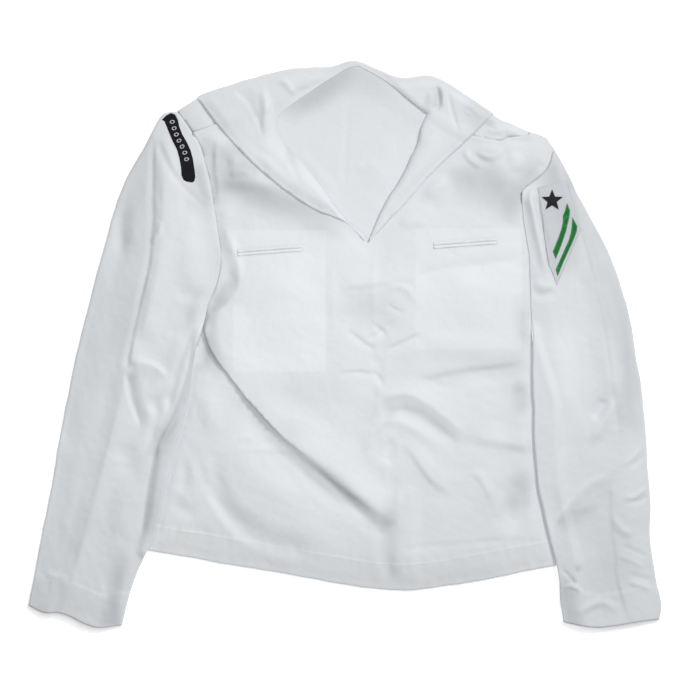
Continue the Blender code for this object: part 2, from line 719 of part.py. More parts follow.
def shoulder_tape(surface, finish):
    """The black tape that runs beside the left armhole from the sleeve over the shoulder edge."""
    seam = smooth_line(ARMHOLE_LEFT, TRIM_STEP)
    path = seam - sideways(seam) * (TAPE_FROM_SEAM + TAPE_WIDTH / 2)
    path = path[(lengths_along(seam) < TAPE_LENGTH) & (path[:, 1] < TAPE_TOP)]
    outline = strip_outline(path, TAPE_WIDTH, TRIM_STEP)
    return trim("shoulder_tape", outline, surface, finish)


def star_outline(centre, outer, inner, points):
    """A plain star."""
    turns = np.arange(2 * points) * pi / points + pi / 2
    radii = np.where(np.arange(2 * points) % 2 == 0, outer, inner)
    return np.array(centre) + np.column_stack([radii * np.cos(turns), radii * np.sin(turns)])


def sleeve_badge(surface, patch_finish, stripe_finish, motif_finish):
    """The white patch on the right sleeve, with its two green stripes and its motif."""
    corners = smooth_line(PATCH + PATCH[:1], TRIM_STEP * 1.5, True)[:-1]
    patch = trim("sleeve_patch", corners[::-1], surface, patch_finish)
    bpy.context.view_layer.update()
    face = surface_of(patch)
    for name, path in STRIPES.items():
        trim(name, strip_outline(path, STRIPE_WIDTH, TRIM_STEP), face, stripe_finish)
    star = star_outline(MOTIF_CENTRE, MOTIF_OUTER, MOTIF_INNER, MOTIF_POINTS)
    trim("sleeve_motif", star, face, motif_finish)


def main():
    for thing in list(bpy.data.objects):
        bpy.data.objects.remove(thing, do_unlink=True)
    twill = material("white_twill", WHITE_TWILL)
    back_panel(twill)
    front = front_panel(twill)
    collar(twill)
    left = sleeve(
        "sleeve_left", SLEEVE_LEFT_OUTER, SLEEVE_LEFT_INNER, ARMHOLE_LEFT, CUFF_LEFT,
        SLEEVE_LEFT_FOLDS, SIDE_LEFT, 1, twill,
    )
    right = sleeve(
        "sleeve_right", SLEEVE_RIGHT_OUTER, SLEEVE_RIGHT_INNER, ARMHOLE_RIGHT, CUFF_RIGHT,
        SLEEVE_RIGHT_FOLDS, SIDE_RIGHT, -1, twill,
    )
    bpy.context.view_layer.update()
    pocket_welts(surface_of(front), twill)
    shoulder_tape(surface_of(left), material("black_tape", BLACK_TAPE))
    sleeve_badge(
        surface_of(right),
        material("white_patch", WHITE_PATCH),
        material("green_felt", GREEN_FELT),
        material("black_thread", BLACK_THREAD),
    )


main()
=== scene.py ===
"""A middy shirt laid flat on its back: its cloth, seams, stitching and badge.

Sizes are in millimetres and become metres when a mesh is made. +X is to the right sleeve, +Y to the
neck and +Z out of the front.
"""

import logging
from collections.abc import Callable, Iterable
from dataclasses import dataclass, field
from enum import Enum
from math import cos, pi, radians, sin

import bpy
import numpy as np
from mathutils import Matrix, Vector
from mathutils.bvhtree import BVHTree
from mathutils.geometry import delaunay_2d_cdt


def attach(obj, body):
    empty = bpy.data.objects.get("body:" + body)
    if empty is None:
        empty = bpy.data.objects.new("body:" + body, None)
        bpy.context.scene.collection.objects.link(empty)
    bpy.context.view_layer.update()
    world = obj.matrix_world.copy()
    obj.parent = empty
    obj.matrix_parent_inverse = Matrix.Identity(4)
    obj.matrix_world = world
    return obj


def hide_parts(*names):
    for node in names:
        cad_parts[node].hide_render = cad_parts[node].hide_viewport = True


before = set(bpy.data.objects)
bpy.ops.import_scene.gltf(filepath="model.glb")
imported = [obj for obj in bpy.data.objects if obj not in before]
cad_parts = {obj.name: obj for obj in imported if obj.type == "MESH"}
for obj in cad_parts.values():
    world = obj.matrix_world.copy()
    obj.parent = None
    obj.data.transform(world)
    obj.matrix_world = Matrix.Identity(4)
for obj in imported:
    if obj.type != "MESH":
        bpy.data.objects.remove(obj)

log = logging.getLogger("middy_shirt")
Array = np.ndarray
Material = bpy.types.Material
Line = tuple[tuple[float, float], ...]

MM = 0.001
# Thicknesses: of the cloth, between layers, of the flap under the back and of the laid body
CLOTH = 0.9
LAYER_GAP = 0.6
FLAP_LIFT = 1.8
BODY_THICK = 3.2
FINE_THREAD = 0.24
# The rolls of the body's and the collar's top edges: their radii and how one clears the other
BODY_ROLL = 1.6
COLLAR_ROLL = 3.4
ROLL_CLEAR = 0.8
ROLL_BLEND = 16
PAST_TOP = 400
# How the back rises over the flap: where the ramp starts beside it, and its length
FLAP_MARGIN = 3
FLAP_RAMP = 42
# Seams: the gap between two edges, the lap of one on the other, what it lifts and how it thins
SEAM_GAP = 0.2
LAP = 1.3
LAP_LIFT = 1.45
LAP_THINNING = 0.6
# The share of the left armhole that lies above the shoulder seam
SEAM_SHARE = 0.125
# What the lapels lie above the front, the back rises at the neck, and the left armhole swells
LAPEL_LIFT = 1.35
NECK_RISE = 2.4
NECK_SLOPE = 30
BACK_NECK_DROP = 2.2
ARMHOLE_SWELL = 2.6
# The scale of all folds' heights, and how far edges and seams wander
RELIEF = 1.2
WANDER = 0.7

# The outline, as the edges between its corners
TOP_EDGE: Line = (
    (-209, 292), (-185, 310), (-144, 324), (-81, 342), (-19, 348), (12, 355), (44, 342),
    (71, 334), (109, 336), (150, 314), (186, 289), (219, 271), (250, 260), (262, 244),
)
SHOULDER_SEAM_LEFT: Line = ((-161, 275), (-119, 290), (-79, 299))
SHOULDER_SEAM_RIGHT: Line = ((104, 291), (131, 271), (159, 260), (190, 255), (205, 259), (230, 262))
ARMHOLE_LEFT: Line = (
    (-209, 292), (-194, 268), (-180, 244), (-169, 200), (-162, 155), (-155, 105), (-159, 76),
    (-170, 52), (-174, 33),
)
ARMHOLE_RIGHT: Line = (
    (262, 244), (255, 225), (244, 210), (222, 189), (224, 150), (230, 104), (232, 35),
)
SIDE_LEFT: Line = (
    (-174, 33), (-184, 2), (-196, -28), (-206, -71), (-225, -138), (-235, -200), (-248, -256),
)
SIDE_RIGHT: Line = (
    (232, 35), (234, 6), (243, -26), (256, -69), (260, -131), (266, -194), (284, -272),
)
HEM: Line = (
    (-248, -256), (-181, -268), (-94, -282), (6, -300), (69, -306), (131, -300), (219, -284),
    (284, -272),
)
FRONT_NECK_LEFT: Line = (
    (-79, 299), (-108, 284), (-106, 250), (-66, 198), (-26, 168), (0, 157), (12, 149), (21, 141),
    (28, 127),
)
FRONT_NECK_RIGHT: Line = ((104, 291), (101, 270), (95, 246), (77, 206), (54, 168), (28, 127))
SHOULDER_RIGHT_X = (252.0, 242.0, 230.0)
SLEEVE_LEFT_OUTER: Line = (
    (-209, 292), (-221, 291), (-231, 284), (-250, 248), (-281, 188), (-312, 81), (-338, -25),
    (-354, -106), (-372, -206), (-395, -324),
)
SLEEVE_LEFT_INNER: Line = (
    (-174, 33), (-184, 2), (-190, -28), (-196, -71), (-212, -128), (-222, -169), (-235, -231),
    (-248, -256), (-265, -296), (-279, -350),
)
CUFF_LEFT: Line = (
    (-395, -324), (-375, -334), (-354, -335), (-319, -350), (-302, -352), (-279, -350),
)
SLEEVE_RIGHT_OUTER: Line = (
    (262, 244), (275, 219), (306, 159), (331, 112), (352, 50), (366, -31), (374, -94),
    (381, -194), (381, -250), (394, -319), (392, -342),
)
SLEEVE_RIGHT_INNER: Line = (
    (232, 35), (234, 6), (235, -69), (236, -131), (241, -175), (251, -219), (265, -278),
    (268, -312), (272, -346),
)
CUFF_RIGHT: Line = ((392, -342), (369, -345), (334, -351), (306, -352), (272, -346))
LAPEL_LEFT: Line = (
    (-185, 310), (-164, 281), (-125, 238), (-81, 198), (-41, 171), (0, 154), (24, 130),
)
LAPEL_RIGHT: Line = ((30, 130), (54, 154), (81, 184), (119, 225), (159, 261), (186, 289))
ROLL_LEFT: Line = (
    (23, 134), (-6, 165), (-39, 210), (-78, 256), (-84, 279), (-74, 294), (-40, 319), (0, 344),
    (17, 348),
)
ROLL_TOP: Line = ((17, 348), (50, 329), (84, 302), (102, 288))
ROLL_RIGHT: Line = ((102, 288), (94, 269), (89, 248), (70, 210), (49, 175), (31, 136))
FLAP_SIDE_LEFT: Line = ((-139, 79), (-139, 244))
FLAP_SIDE_RIGHT: Line = ((191, 225), (191, 69))


def lengths_along(line: Array) -> Array:
    """How far along a line each of its points is."""
    return np.r_[0, np.cumsum(np.linalg.norm(np.diff(line, axis=0), axis=1))]


def read_at(line: Array, stations: Array) -> Array:
    """The points of a line at these distances along it."""
    lengths = lengths_along(line)
    return np.column_stack([np.interp(stations, lengths, line[:, axis]) for axis in (0, 1)])


def sideways(line: Array) -> Array:
    """The unit vector to the left of a line's run, at each of its points."""
    run = np.gradient(line, axis=0)
    return np.column_stack([-run[:, 1], run[:, 0]]) / np.linalg.norm(run, axis=1)[:, None]


def smooth_line(points: Iterable, step: float, corners: bool = False) -> Array:
    """A smooth curve through points.

    Args:
        points: The points it passes through.
        step: About how far apart the returned points are.
        corners: Whether it has corners at the given points, and is straight between them.

    Returns:
        The curve's points.
    """
    knots = np.array(points, float)
    dense = knots
    if len(knots) > 2 and not corners:
        padded = np.vstack([2 * knots[:1] - knots[1:2], knots, 2 * knots[-1:] - knots[-2:-1]])
        share = np.linspace(0, 1, 12, endpoint=False)[:, None]
        spans = []
        for before, start, end, after in zip(padded, padded[1:], padded[2:], padded[3:]):
            curve = 2 * start + (end - before) * share
            curve = curve + (2 * before - 5 * start + 4 * end - after) * share**2
            curve = curve + (3 * start - before - 3 * end + after) * share**3
            spans.append(curve / 2)
        dense = np.vstack(spans + [knots[-1:]])
    lengths = lengths_along(dense)
    stations = np.linspace(0, lengths[-1], max(2, round(lengths[-1] / step) + 1))
    if corners:
        stations = np.unique(np.round(np.r_[stations, lengths], 6))
    return read_at(dense, stations)


def at_shares(points: Iterable, shares: Array) -> Array:
    """Points of a smooth curve at shares of its length."""
    dense = smooth_line(points, 1)
    return read_at(dense, shares * lengths_along(dense)[-1])


def joined(*lines: Array) -> Array:
    """One closed outline from edges that meet end to end."""
    return np.vstack([line[:-1] for line in lines])


def closed(outline: Array) -> Array:
    """An outline with its first point again at its end."""
    return np.vstack([outline, outline[:1]])


def along(path: Array, places: Array) -> tuple[Array, Array]:
    """Where places lie beside a path.

    Args:
        path: The points of the path.
        places: The places to measure.

    Returns:
        Each place's signed distance, positive to the left of the path's run, and how far along the
        path its nearest point is.
    """
    starts, runs = path[:-1], np.diff(path, axis=0)
    squares = (runs**2).sum(axis=1)
    reached = lengths_along(path)
    distances, stations = np.empty(len(places)), np.empty(len(places))
    for first in range(0, len(places), 8000):
        some = slice(first, first + 8000)
        offsets = places[some, None] - starts
        shares = np.clip((offsets * runs).sum(axis=2) / squares, 0, 1)
        gaps = np.linalg.norm(offsets - shares[..., None] * runs, axis=2)
        nearest = gaps.argmin(axis=1)
        rows = np.arange(len(nearest))
        run, offset = runs[nearest], offsets[rows, nearest]
        side = np.where(run[:, 0] * offset[:, 1] >= run[:, 1] * offset[:, 0], 1, -1)
        distances[some] = side * gaps[rows, nearest]
        stations[some] = reached[nearest] + shares[rows, nearest] * np.sqrt(squares)[nearest]
    return distances, stations


def apart(line: Array, places: Array) -> Array:
    """How far each place is from a line."""
    return abs(along(line, places)[0])


def inside(outline: Array, places: Array) -> Array:
    """Whether each place lies inside a closed outline.

    Args:
        outline: The outline's points in turn.
        places: Places in plan, one a row.

    Returns:
        True for each place inside it.
    """
    x0, y0 = outline.T
    x1, y1 = np.roll(outline, -1, axis=0).T
    found = []
    for some in np.array_split(places, len(places) // 8000 + 1):
        x, y = some[:, :1], some[:, 1:]
        crosses = (y0 > y) != (y1 > y)
        reach = x0 + (y - y0) * (x1 - x0) / np.where(y1 == y0, 1, y1 - y0)
        found.append((crosses & (x < reach)).sum(axis=1) % 2 == 1)
    return np.concatenate(found)


def eased(value: Array) -> Array:
    """A smooth step from 0 to 1."""
    value = np.clip(value, 0, 1)
    return value * value * (3 - 2 * value)


def rounded(value: Array) -> Array:
    """A quarter circle from 0 to 1."""
    return np.sqrt(1 - (1 - np.clip(value, 0, 1)) ** 2)


def inset(outline: Array, amount: float) -> Array:
    """A closed outline that runs against the hands of a clock, moved inwards.

    Args:
        outline: The outline's points in turn.
        amount: How far it is moved.

    Returns:
        The moved outline.
    """
    before, after = np.roll(outline, 1, axis=0), np.roll(outline, -1, axis=0)
    run = (outline - before) / np.linalg.norm(outline - before, axis=1)[:, None]
    run = run + (after - outline) / np.linalg.norm(after - outline, axis=1)[:, None]
    length = np.maximum(np.linalg.norm(run, axis=1), 0.6)[:, None]
    return outline + amount * np.column_stack([-run[:, 1], run[:, 0]]) / length


def waves(places: Array, scale: float, seed: int, count: int = 28) -> Array:
    """A smooth uneven field of about -1 to 1, whose bumps are about half a scale across.

    Args:
        places: Places in plan, one a row.
        scale: About twice as far as a bump is across.
        seed: The seed of its random draws.
        count: How many waves it adds up.

    Returns:
        The field at each place.
    """
    draw = np.random.default_rng(seed)
    turn = draw.uniform(0, 2 * pi, count)
    pace = 2 * pi / scale * draw.uniform(0.45, 1.5, count)
    phase = draw.uniform(0, 2 * pi, count)
    total = np.zeros(len(places))
    for angle, rate, start in zip(turn, pace, phase):
        total += np.sin(rate * (cos(angle) * places[:, 0] + sin(angle) * places[:, 1]) + start)
    return total * (1.4 / count) ** 0.5 * 0.6


def crumple(places: Array, scale: float, seed: int) -> Array:
    """Fine creases that come and go, as heights of 0 to about 1."""
    lines = np.exp(-abs(waves(places, scale, seed)) / 0.16)
    return lines * eased(0.5 + waves(places, scale * 1.7, seed + 1))


def uneven(places: Array, *parts: tuple[Callable, float, float, int]) -> Array:
    """The fine unevenness of a cloth face, each part given as its field, height, scale and seed."""
    return sum(height * made(places, scale, seed) for made, height, scale, seed in parts)


def pucker(distance: Array, station: Array, spacing: float, reach: float, seed: int) -> Array:
    """Small waves across a sewn line, which die out away from it."""
    line = np.column_stack([station, np.full(len(station), 0.3 * seed)])
    return waves(line, spacing, seed, 14) * np.exp(-((distance / reach) ** 2))


@dataclass(frozen=True)
class Fold:
    """A ridge, or a trough where its height is under 0.

    path holds the x and y of its points in turn. left and right are its widths beside the path as
    it runs. fade is the share of its length over which each end tapers, or one for its start and
    one for its end. sharp is 0 for a soft crest and 1 for a pressed one, and lean is how far its
    crest is pushed over to the right. A band of painted shade has the same shape, with a depth of
    painted grey for a height, and paler painted light where that depth is under 0.
    """

    height: float
    left: float
    right: float
    fade: float | tuple[float, float]
    path: tuple[float, ...]
    sharp: float = 0.0
    lean: float = 0.0

    def add(self, places: Array, heights: Array, shifts: Array) -> None:
        """Add the fold to what lies near it.

        Args:
            places: The places in plan.
            heights: Their heights, which are raised.
            shifts: Their sideways shifts, which are pushed.
        """
        line = smooth_line(np.reshape(self.path, (-1, 2)), 4)
        reach = 1.4 * max(self.left, self.right)
        low, high = line.min(axis=0) - reach, line.max(axis=0) + reach
        near = ((places > low) & (places < high)).all(axis=1)
        if not near.any():
            return
        distance, station = along(line, places[near])
        length = lengths_along(line)[-1]
        share = station / length
        phase = self.path[0] * 0.37 + self.path[-1] * 0.61
        uneven = np.sin(station / 31 + phase) + 0.6 * np.sin(station / 13.7 + 2.3 * phase)
        width = np.where(distance > 0, self.left, self.right) * (1 + 0.13 * uneven)
        closeness = 1 - abs(distance) / width
        soft, crisp = eased(closeness), np.clip(closeness, 0, 1) ** 2
        start, end = np.broadcast_to(self.fade, 2)
        ends = eased(share / start) * eased((1 - share) / end)
        swing = 1 + 0.16 * np.sin(station / 19 + phase)
        shape = (soft + self.sharp * (crisp - soft)) * ends * swing
        heights[near] += self.height * shape
        if self.lean:
            run = np.gradient(line, axis=0)
            at = np.clip(np.searchsorted(lengths_along(line), station), 0, len(line) - 1)
            run = run[at] / np.linalg.norm(run[at], axis=1)[:, None]
            shifts[near] += np.column_stack([run[:, 1], -run[:, 0]]) * (self.lean * shape)[:, None]


def relief(folds: Iterable, places: Array) -> tuple[Array, Array]:
    """The heights and the sideways shifts of all folds at each place.

    Args:
        folds: The folds.
        places: Places in plan, one a row.

    Returns:
        The heights and the shifts.
    """
    heights, shifts = np.zeros(len(places)), np.zeros((len(places), 2))
    for fold in folds:
        fold.add(places, heights, shifts)
    return RELIEF * heights, shifts


def painted_shade_depth(bands: Iterable, places: Array) -> Array:
    """How much painted shade greys the cloth at each place, or how much paler painted light makes
    it where it is negative.

    Args:
        bands: The bands of painted shade.
        places: Places in plan, one a row.

    Returns:
        The depth of painted grey at each place.
    """
    tones = np.zeros(len(places))
    for band in bands:
        band.add(places, tones, np.zeros((len(places), 2)))
    return tones


@dataclass
class Sheet:
    """A mesh of triangles over a flat outline."""

    points: Array
    faces: Array

    @classmethod
    def filled(
        cls, outline: Callable[[float], Array], lines: list[Array], step: float, times: int = 2
    ) -> "Sheet":
        """Fill an outline with triangles.

        Args:
            outline: Gives the outline, which runs against the hands of a clock, at a spacing.
            lines: Lines that edges of the mesh follow.
            step: The spacing before it is divided.
            times: How often each triangle is divided into four.

        Returns:
            The mesh, with its rim on the fine outline.
        """
        rough = outline(step)
        points, count = [rough], len(rough)
        edges = [(i, (i + 1) % count) for i in range(count)]
        rim = closed(rough)
        for line in lines:
            keep = inside(rough, line) & (apart(rim, line) > 0.12 * step)
            index = np.where(keep, count + np.cumsum(keep) - 1, -1)
            edges += [(int(a), int(b)) for a, b in zip(index, index[1:]) if a >= 0 and b >= 0]
            points.append(line[keep])
            count += keep.sum()
        low, high = rough.min(axis=0), rough.max(axis=0)
        rows = np.arange(low[1], high[1], step * 3**0.5 / 2)
        x, y = np.meshgrid(np.arange(low[0], high[0], step), rows)
        x[1::2] += step / 2
        grid = np.column_stack([x.ravel(), y.ravel()])
        grid = grid[inside(rough, grid)]
        near = apart(rim, grid)
        for line in lines:
            near = np.minimum(near, apart(line, grid))
        points.append(grid[near > 0.62 * step])
        corners = [Vector(point) for point in np.vstack(points)]
        placed, _, faces, *_ = delaunay_2d_cdt(corners, edges, [], 1, 1e-4)
        placed = np.array([tuple(point) for point in placed])
        made = cls(placed, np.array([tuple(face) for face in faces]))
        fine = closed(outline(step / 2**times / 2))
        for _ in range(times):
            made = made.divided(fine)
        return made

    def divided(self, rim: Array) -> "Sheet":
        """The mesh with each triangle divided into four, and new points of its edge on the rim.

        Args:
            rim: The closed line that its edge lies on.

        Returns:
            The finer mesh.
        """
        pairs = np.sort(self.faces[:, [0, 1, 1, 2, 2, 0]].reshape(-1, 2), axis=1)
        unique, back, uses = np.unique(pairs, axis=0, return_inverse=True, return_counts=True)
        middles = self.points[unique].mean(axis=1)
        edge = uses == 1
        middles[edge] = read_at(rim, along(rim, middles[edge])[1])
        ab, bc, ca = (back.reshape(-1, 3) + len(self.points)).T
        a, b, c = self.faces.T
        corners = [(a, ab, ca), (ab, b, bc), (ca, bc, c), (ab, bc, ca)]
        faces = np.concatenate([np.column_stack(corner) for corner in corners])
        return Sheet(np.vstack([self.points, middles]), faces)


def shelled(points: Array, faces: Array, wall: Array | float) -> tuple[Array, Array, Array]:
    """Give a face a thickness.

    Args:
        points: The face's points.
        faces: Its triangles or quads.
        wall: The thickness under it, one for all points or one for each.

    Returns:
        The points of both sides, their faces, and the quads of the rim between them.
    """
    corners = points[faces]
    across = np.cross(corners[:, -1] - corners[:, 1], corners[:, 0] - corners[:, -2])
    normals = np.zeros_like(points)
    for column in faces.T:
        np.add.at(normals, column, across)
    normals /= np.linalg.norm(normals, axis=1)[:, None]
    count = len(points)
    start, end = faces.ravel(), np.roll(faces, -1, axis=1).ravel()
    open_edge = ~np.isin(start * count + end, end * count + start)
    start, end = start[open_edge], end[open_edge]
    under = points - np.multiply(wall, 1.0).reshape(-1, 1) * normals
    rim = np.column_stack([end, start, start + count, end + count])
    return np.vstack([points, under]), np.vstack([faces, faces[:, ::-1] + count]), rim


class Ground:
    """The upper face of a piece that others lie on."""

    def __init__(self, points: Array, faces: Array) -> None:
        """Hold a mesh in millimetres."""
        triangles = [tuple(int(i) for i in face) for face in faces]
        self.tree = BVHTree.FromPolygons([tuple(point) for point in points], triangles)

    def height(self, places: Array) -> Array:
        """The face's height over each place, or 0 where there is none.

        Args:
            places: Places in plan, one a row.

        Returns:
            The height over each place.
        """
        down = Vector((0, 0, -1))
        hits = [self.tree.ray_cast(Vector((x, y, 60)), down)[0] for x, y in places]
        return np.array([hit.z if hit else 0.0 for hit in hits])

    def height_near(self, places: Array, reach: float) -> Array:
        """The highest that the face is within reach of each place.

        Args:
            places: Places in plan, one a row.
            reach: How far round each place it looks.

        Returns:
            The greatest height near each place.
        """
        found = [self.height(places)]
        for turn in np.arange(8) * pi / 4:
            found.append(self.height(places + reach * np.array([cos(turn), sin(turn)])))
        return np.max(found, axis=0)


def soft(height: float, width: float, fade: float, *path: float) -> Fold:
    """A fold that is as wide on both sides, its path given as x and y in turn."""
    return Fold(height, width, width, fade, path)


# The shirt's folds
FRONT_FOLDS = (
    # The long diagonal from the left underarm, steep on its lower left side
    Fold(3.0, 54, 3.6, (0.05, 0.45), (-177, 46, -175, 36, -168, 6, -151, -25, -124, -59, -95, -91,
        -68, -119, -40, -141, -14, -161), 0.35, 4),
    Fold(4.9, 48, 21, (0.4, 0.1), (-124, -62, -98, -94, -68, -120, -40, -143, 0, -177, 26, -197,
        46, -212, 64, -227)),
    Fold(-1.6, 14, 10, 0.3, (-50, -146, -16, -172, 14, -200, 40, -219)),
    Fold(-2.2, 8, 30, 0.22, (-164, -14, -124, -71, -74, -126, -19, -171, 34, -210, 64, -226)),
    # The bulge and the trough that follow it towards the hem
    Fold(2.4, 34, 44, 0.3, (-186, -44, -166, -94, -131, -141, -86, -184, -31, -219, 9, -239)),
    Fold(-3.0, 26, 14, 0.25, (-190, -130, -177, -154, -166, -179, -154, -203, -134, -226,
        -109, -242, -71, -254, -31, -262), 0.15),
    Fold(1.8, 20, 16, 0.35, (-176, -50, -166, -90, -158, -118), 0.1),
    # The pressed line across the chest: a ridge left of the pockets' middle, then a valley
    Fold(1.3, 22, 9, 0.2, (-9, 72, 38, 78, 69, 81, 91, 88), 0.9),
    Fold(-1.7, 16, 30, 0.14, (84, 85, 119, 94, 150, 98, 194, 104, 228, 108), 0.9),
    # The pressed line down the middle, and the trough beside it over the hem
    Fold(0.6, 8, 8, 0.08, (36, 124, 36, 64, 39, 0, 42, -59, 49, -144, 56, -219), 0.9),
    Fold(-2.2, 14, 20, 0.18, (61, -156, 56, -194, 55, -231, 56, -269, 64, -309), 0.2),
    Fold(1.5, 16, 24, 0.2, (81, -166, 79, -219, 84, -269, 91, -306), 0.1),
    # The crumple under the V of the neck
    Fold(1.1, 7, 7, 0.3, (49, 61, 59, 72, 71, 72, 81, 66, 89, 51), 0.3),
    Fold(-1.3, 5, 6, 0.3, (51, 54, 60, 46, 74, 39), 0.4),
    Fold(-1.7, 5, 5, 0.3, (26, 6, 41, 12, 54, 24, 64, 34), 0.5),
    Fold(-1.8, 3.6, 9, 0.25, (2, 18, 16, 9, 26, 1, 40, -6), 0.6),
    Fold(-1.9, 10, 3.8, 0.25, (99, 16, 79, 6, 64, -1, 49, -8), 0.7),
    Fold(-2.0, 5, 5, 0.3, (36, 27, 44, 18, 53, 10), 0.6),
    Fold(-1.8, 5, 5, 0.3, (31, -33, 40, -38, 47, -52), 0.6),
    # Short lines left of the middle
    Fold(-1.5, 3.6, 9, 0.25, (-9, -38, 9, -34, 24, -35, 40, -38), 0.6),
    Fold(-1.3, 10, 10, 0.3, (39, -9, 41, -29, 44, -54), 0.6),
    Fold(0.5, 12, 12, 0.3, (-19, 19, -16, 56, -18, 104), 0.5),
    Fold(-0.4, 14, 8, 0.3, (-24, -29, -21, 19, -22, 69), 0.4),
    # The fold that runs from the middle to the right sleeve, under the chest
    Fold(2.3, 40, 26, 0.2, (79, -39, 106, -30, 138, -26, 181, -20, 209, -15, 231, -9), 0.35),
    Fold(-1.8, 8, 26, 0.2, (84, -49, 119, -40, 162, -34, 229, -26), 0.1),
    # The arched fold right of the middle, with its dark lower face
    Fold(3.4, 30, 24, 0.18, (36, -104, 39, -81, 50, -66, 69, -60, 91, -66, 114, -82, 139, -104,
        161, -120), 0.9),
    Fold(-1.8, 10, 16, 0.25, (49, -100, 64, -84, 84, -85, 104, -96, 129, -116, 146, -131), 0.1),
    Fold(1.9, 30, 13, 0.25, (146, -109, 169, -115, 200, -121, 229, -126, 254, -134), 0.35),
    Fold(1.7, 13, 12, 0.22, (26, -146, 29, -124, 39, -104, 58, -94, 79, -101, 99, -114,
        119, -131), 0.3),
    Fold(-1.8, 12, 14, 0.3, (49, -151, 54, -129, 65, -119), 0.2),
    Fold(1.8, 26, 8, 0.25, (71, -119, 84, -134, 96, -151, 111, -170, 126, -181, 139, -190), 0.5),
    Fold(1.2, 14, 7, 0.3, (156, -154, 170, -169, 186, -196), 0.5),
    # Hollows beside the right sleeve and under the arms
    soft(-2.6, 20, 0.35, 220, 69, 222, 31, 220, -6),
    soft(-2.4, 18, 0.35, 220, -41, 219, -69, 222, -99),
    Fold(-2.8, 24, 26, 0.35, (226, -146, 219, -176, 209, -219, 201, -244)),
    soft(-1.8, 22, 0.35, 191, -166, 209, -194, 229, -219),
    Fold(-2.4, 20, 16, 0.35, (-146, 104, -144, 75, -154, 50, -166, 29), 0.1),
    Fold(1.8, 10, 14, 0.3, (-154, 149, -142, 124, -132, 99, -136, 66), 0.3),
    Fold(-2, 16, 14, 0.3, (-185, 19, -179, -4, -184, -26)),
    # Soft shading under the left lapel and at the armhole
    Fold(-3.2, 24, 28, 0.3, (-161, 219, -136, 199, -96, 186, -56, 171, -21, 154)),
    Fold(1.7, 6, 5, 0.35, (-146, 209, -130, 217, -116, 214), 0.4),
    Fold(-1.6, 5, 6, 0.3, (-150, 236, -150, 222, -156, 205), 0.4),
    Fold(2.4, 6, 6, 0.25, (-160, 262, -161, 230, -159, 200, -157, 162), 0.2),
    Fold(-1.2, 9, 14, 0.3, (-148, 258, -146, 225, -147, 190), 0.2),
    # Pouches and curls at the right shoulder
    Fold(3.4, 5, 6, 0.3, (168, 264, 184, 267, 204, 267, 226, 265), 0.2),
    Fold(2.4, 10, 12, 0.3, (159, 250, 184, 246, 206, 250, 226, 254), 0.3),
    Fold(2.6, 5, 6, 0.3, (147, 247, 152, 237, 160, 228, 172, 221), 0.4),
    Fold(2.2, 5, 6, 0.3, (162, 243, 174, 236, 188, 236, 198, 245), 0.4),
    Fold(-1.8, 6, 6, 0.3, (158, 238, 170, 229, 186, 226), 0.3),
    soft(2.6, 14, 0.35, 200, 240, 212, 232, 218, 214),
    Fold(-1.8, 5, 8, 0.3, (250, 230, 236, 213, 222, 202), 0.4),
    soft(-2.8, 26, 0.3, 186, 206, 200, 186, 206, 160, 202, 140),
    soft(-2, 22, 0.35, 120, 196, 146, 204, 166, 206),
    Fold(1.6, 14, 14, 0.35, (91, 186, 119, 199, 141, 194), 0.2),
    soft(-1.6, 18, 0.35, 74, 174, 99, 179, 126, 166),
    Fold(1.4, 12, 9, 0.35, (64, 149, 89, 154, 106, 149), 0.3),
    # Broad soft rises of the chest and the lower right
    soft(2.2, 60, 0.4, -94, 119, -79, 56, -69, -19),
    soft(2.2, 60, 0.4, 151, 109, 156, 56, 149, 0),
    soft(1.8, 46, 0.4, 119, -62, 156, -81, 201, -91),
    soft(1.6, 40, 0.4, 94, -194, 134, -219, 181, -229),
    # Small marks
    Fold(0.8, 6, 7, 0.35, (-136, -122, -126, -115, -114, -114), 0.6),
    Fold(0.6, 8, 5, 0.3, (-141, -132, -109, -130, -69, -132), 0.8),
    Fold(-0.7, 6, 9, 0.2, (64, -256, 106, -251, 146, -248, 194, -244, 250, -242), 0.6),
    Fold(-1.6, 14, 14, 0.35, (-204, -138, -199, -162, -206, -188), 0.1),
    Fold(1.4, 14, 12, 0.35, (-176, -134, -169, -169, -164, -200), 0.2),
    Fold(-1.2, 12, 12, 0.35, (-216, -194, -201, -206, -181, -209), 0.2),
)
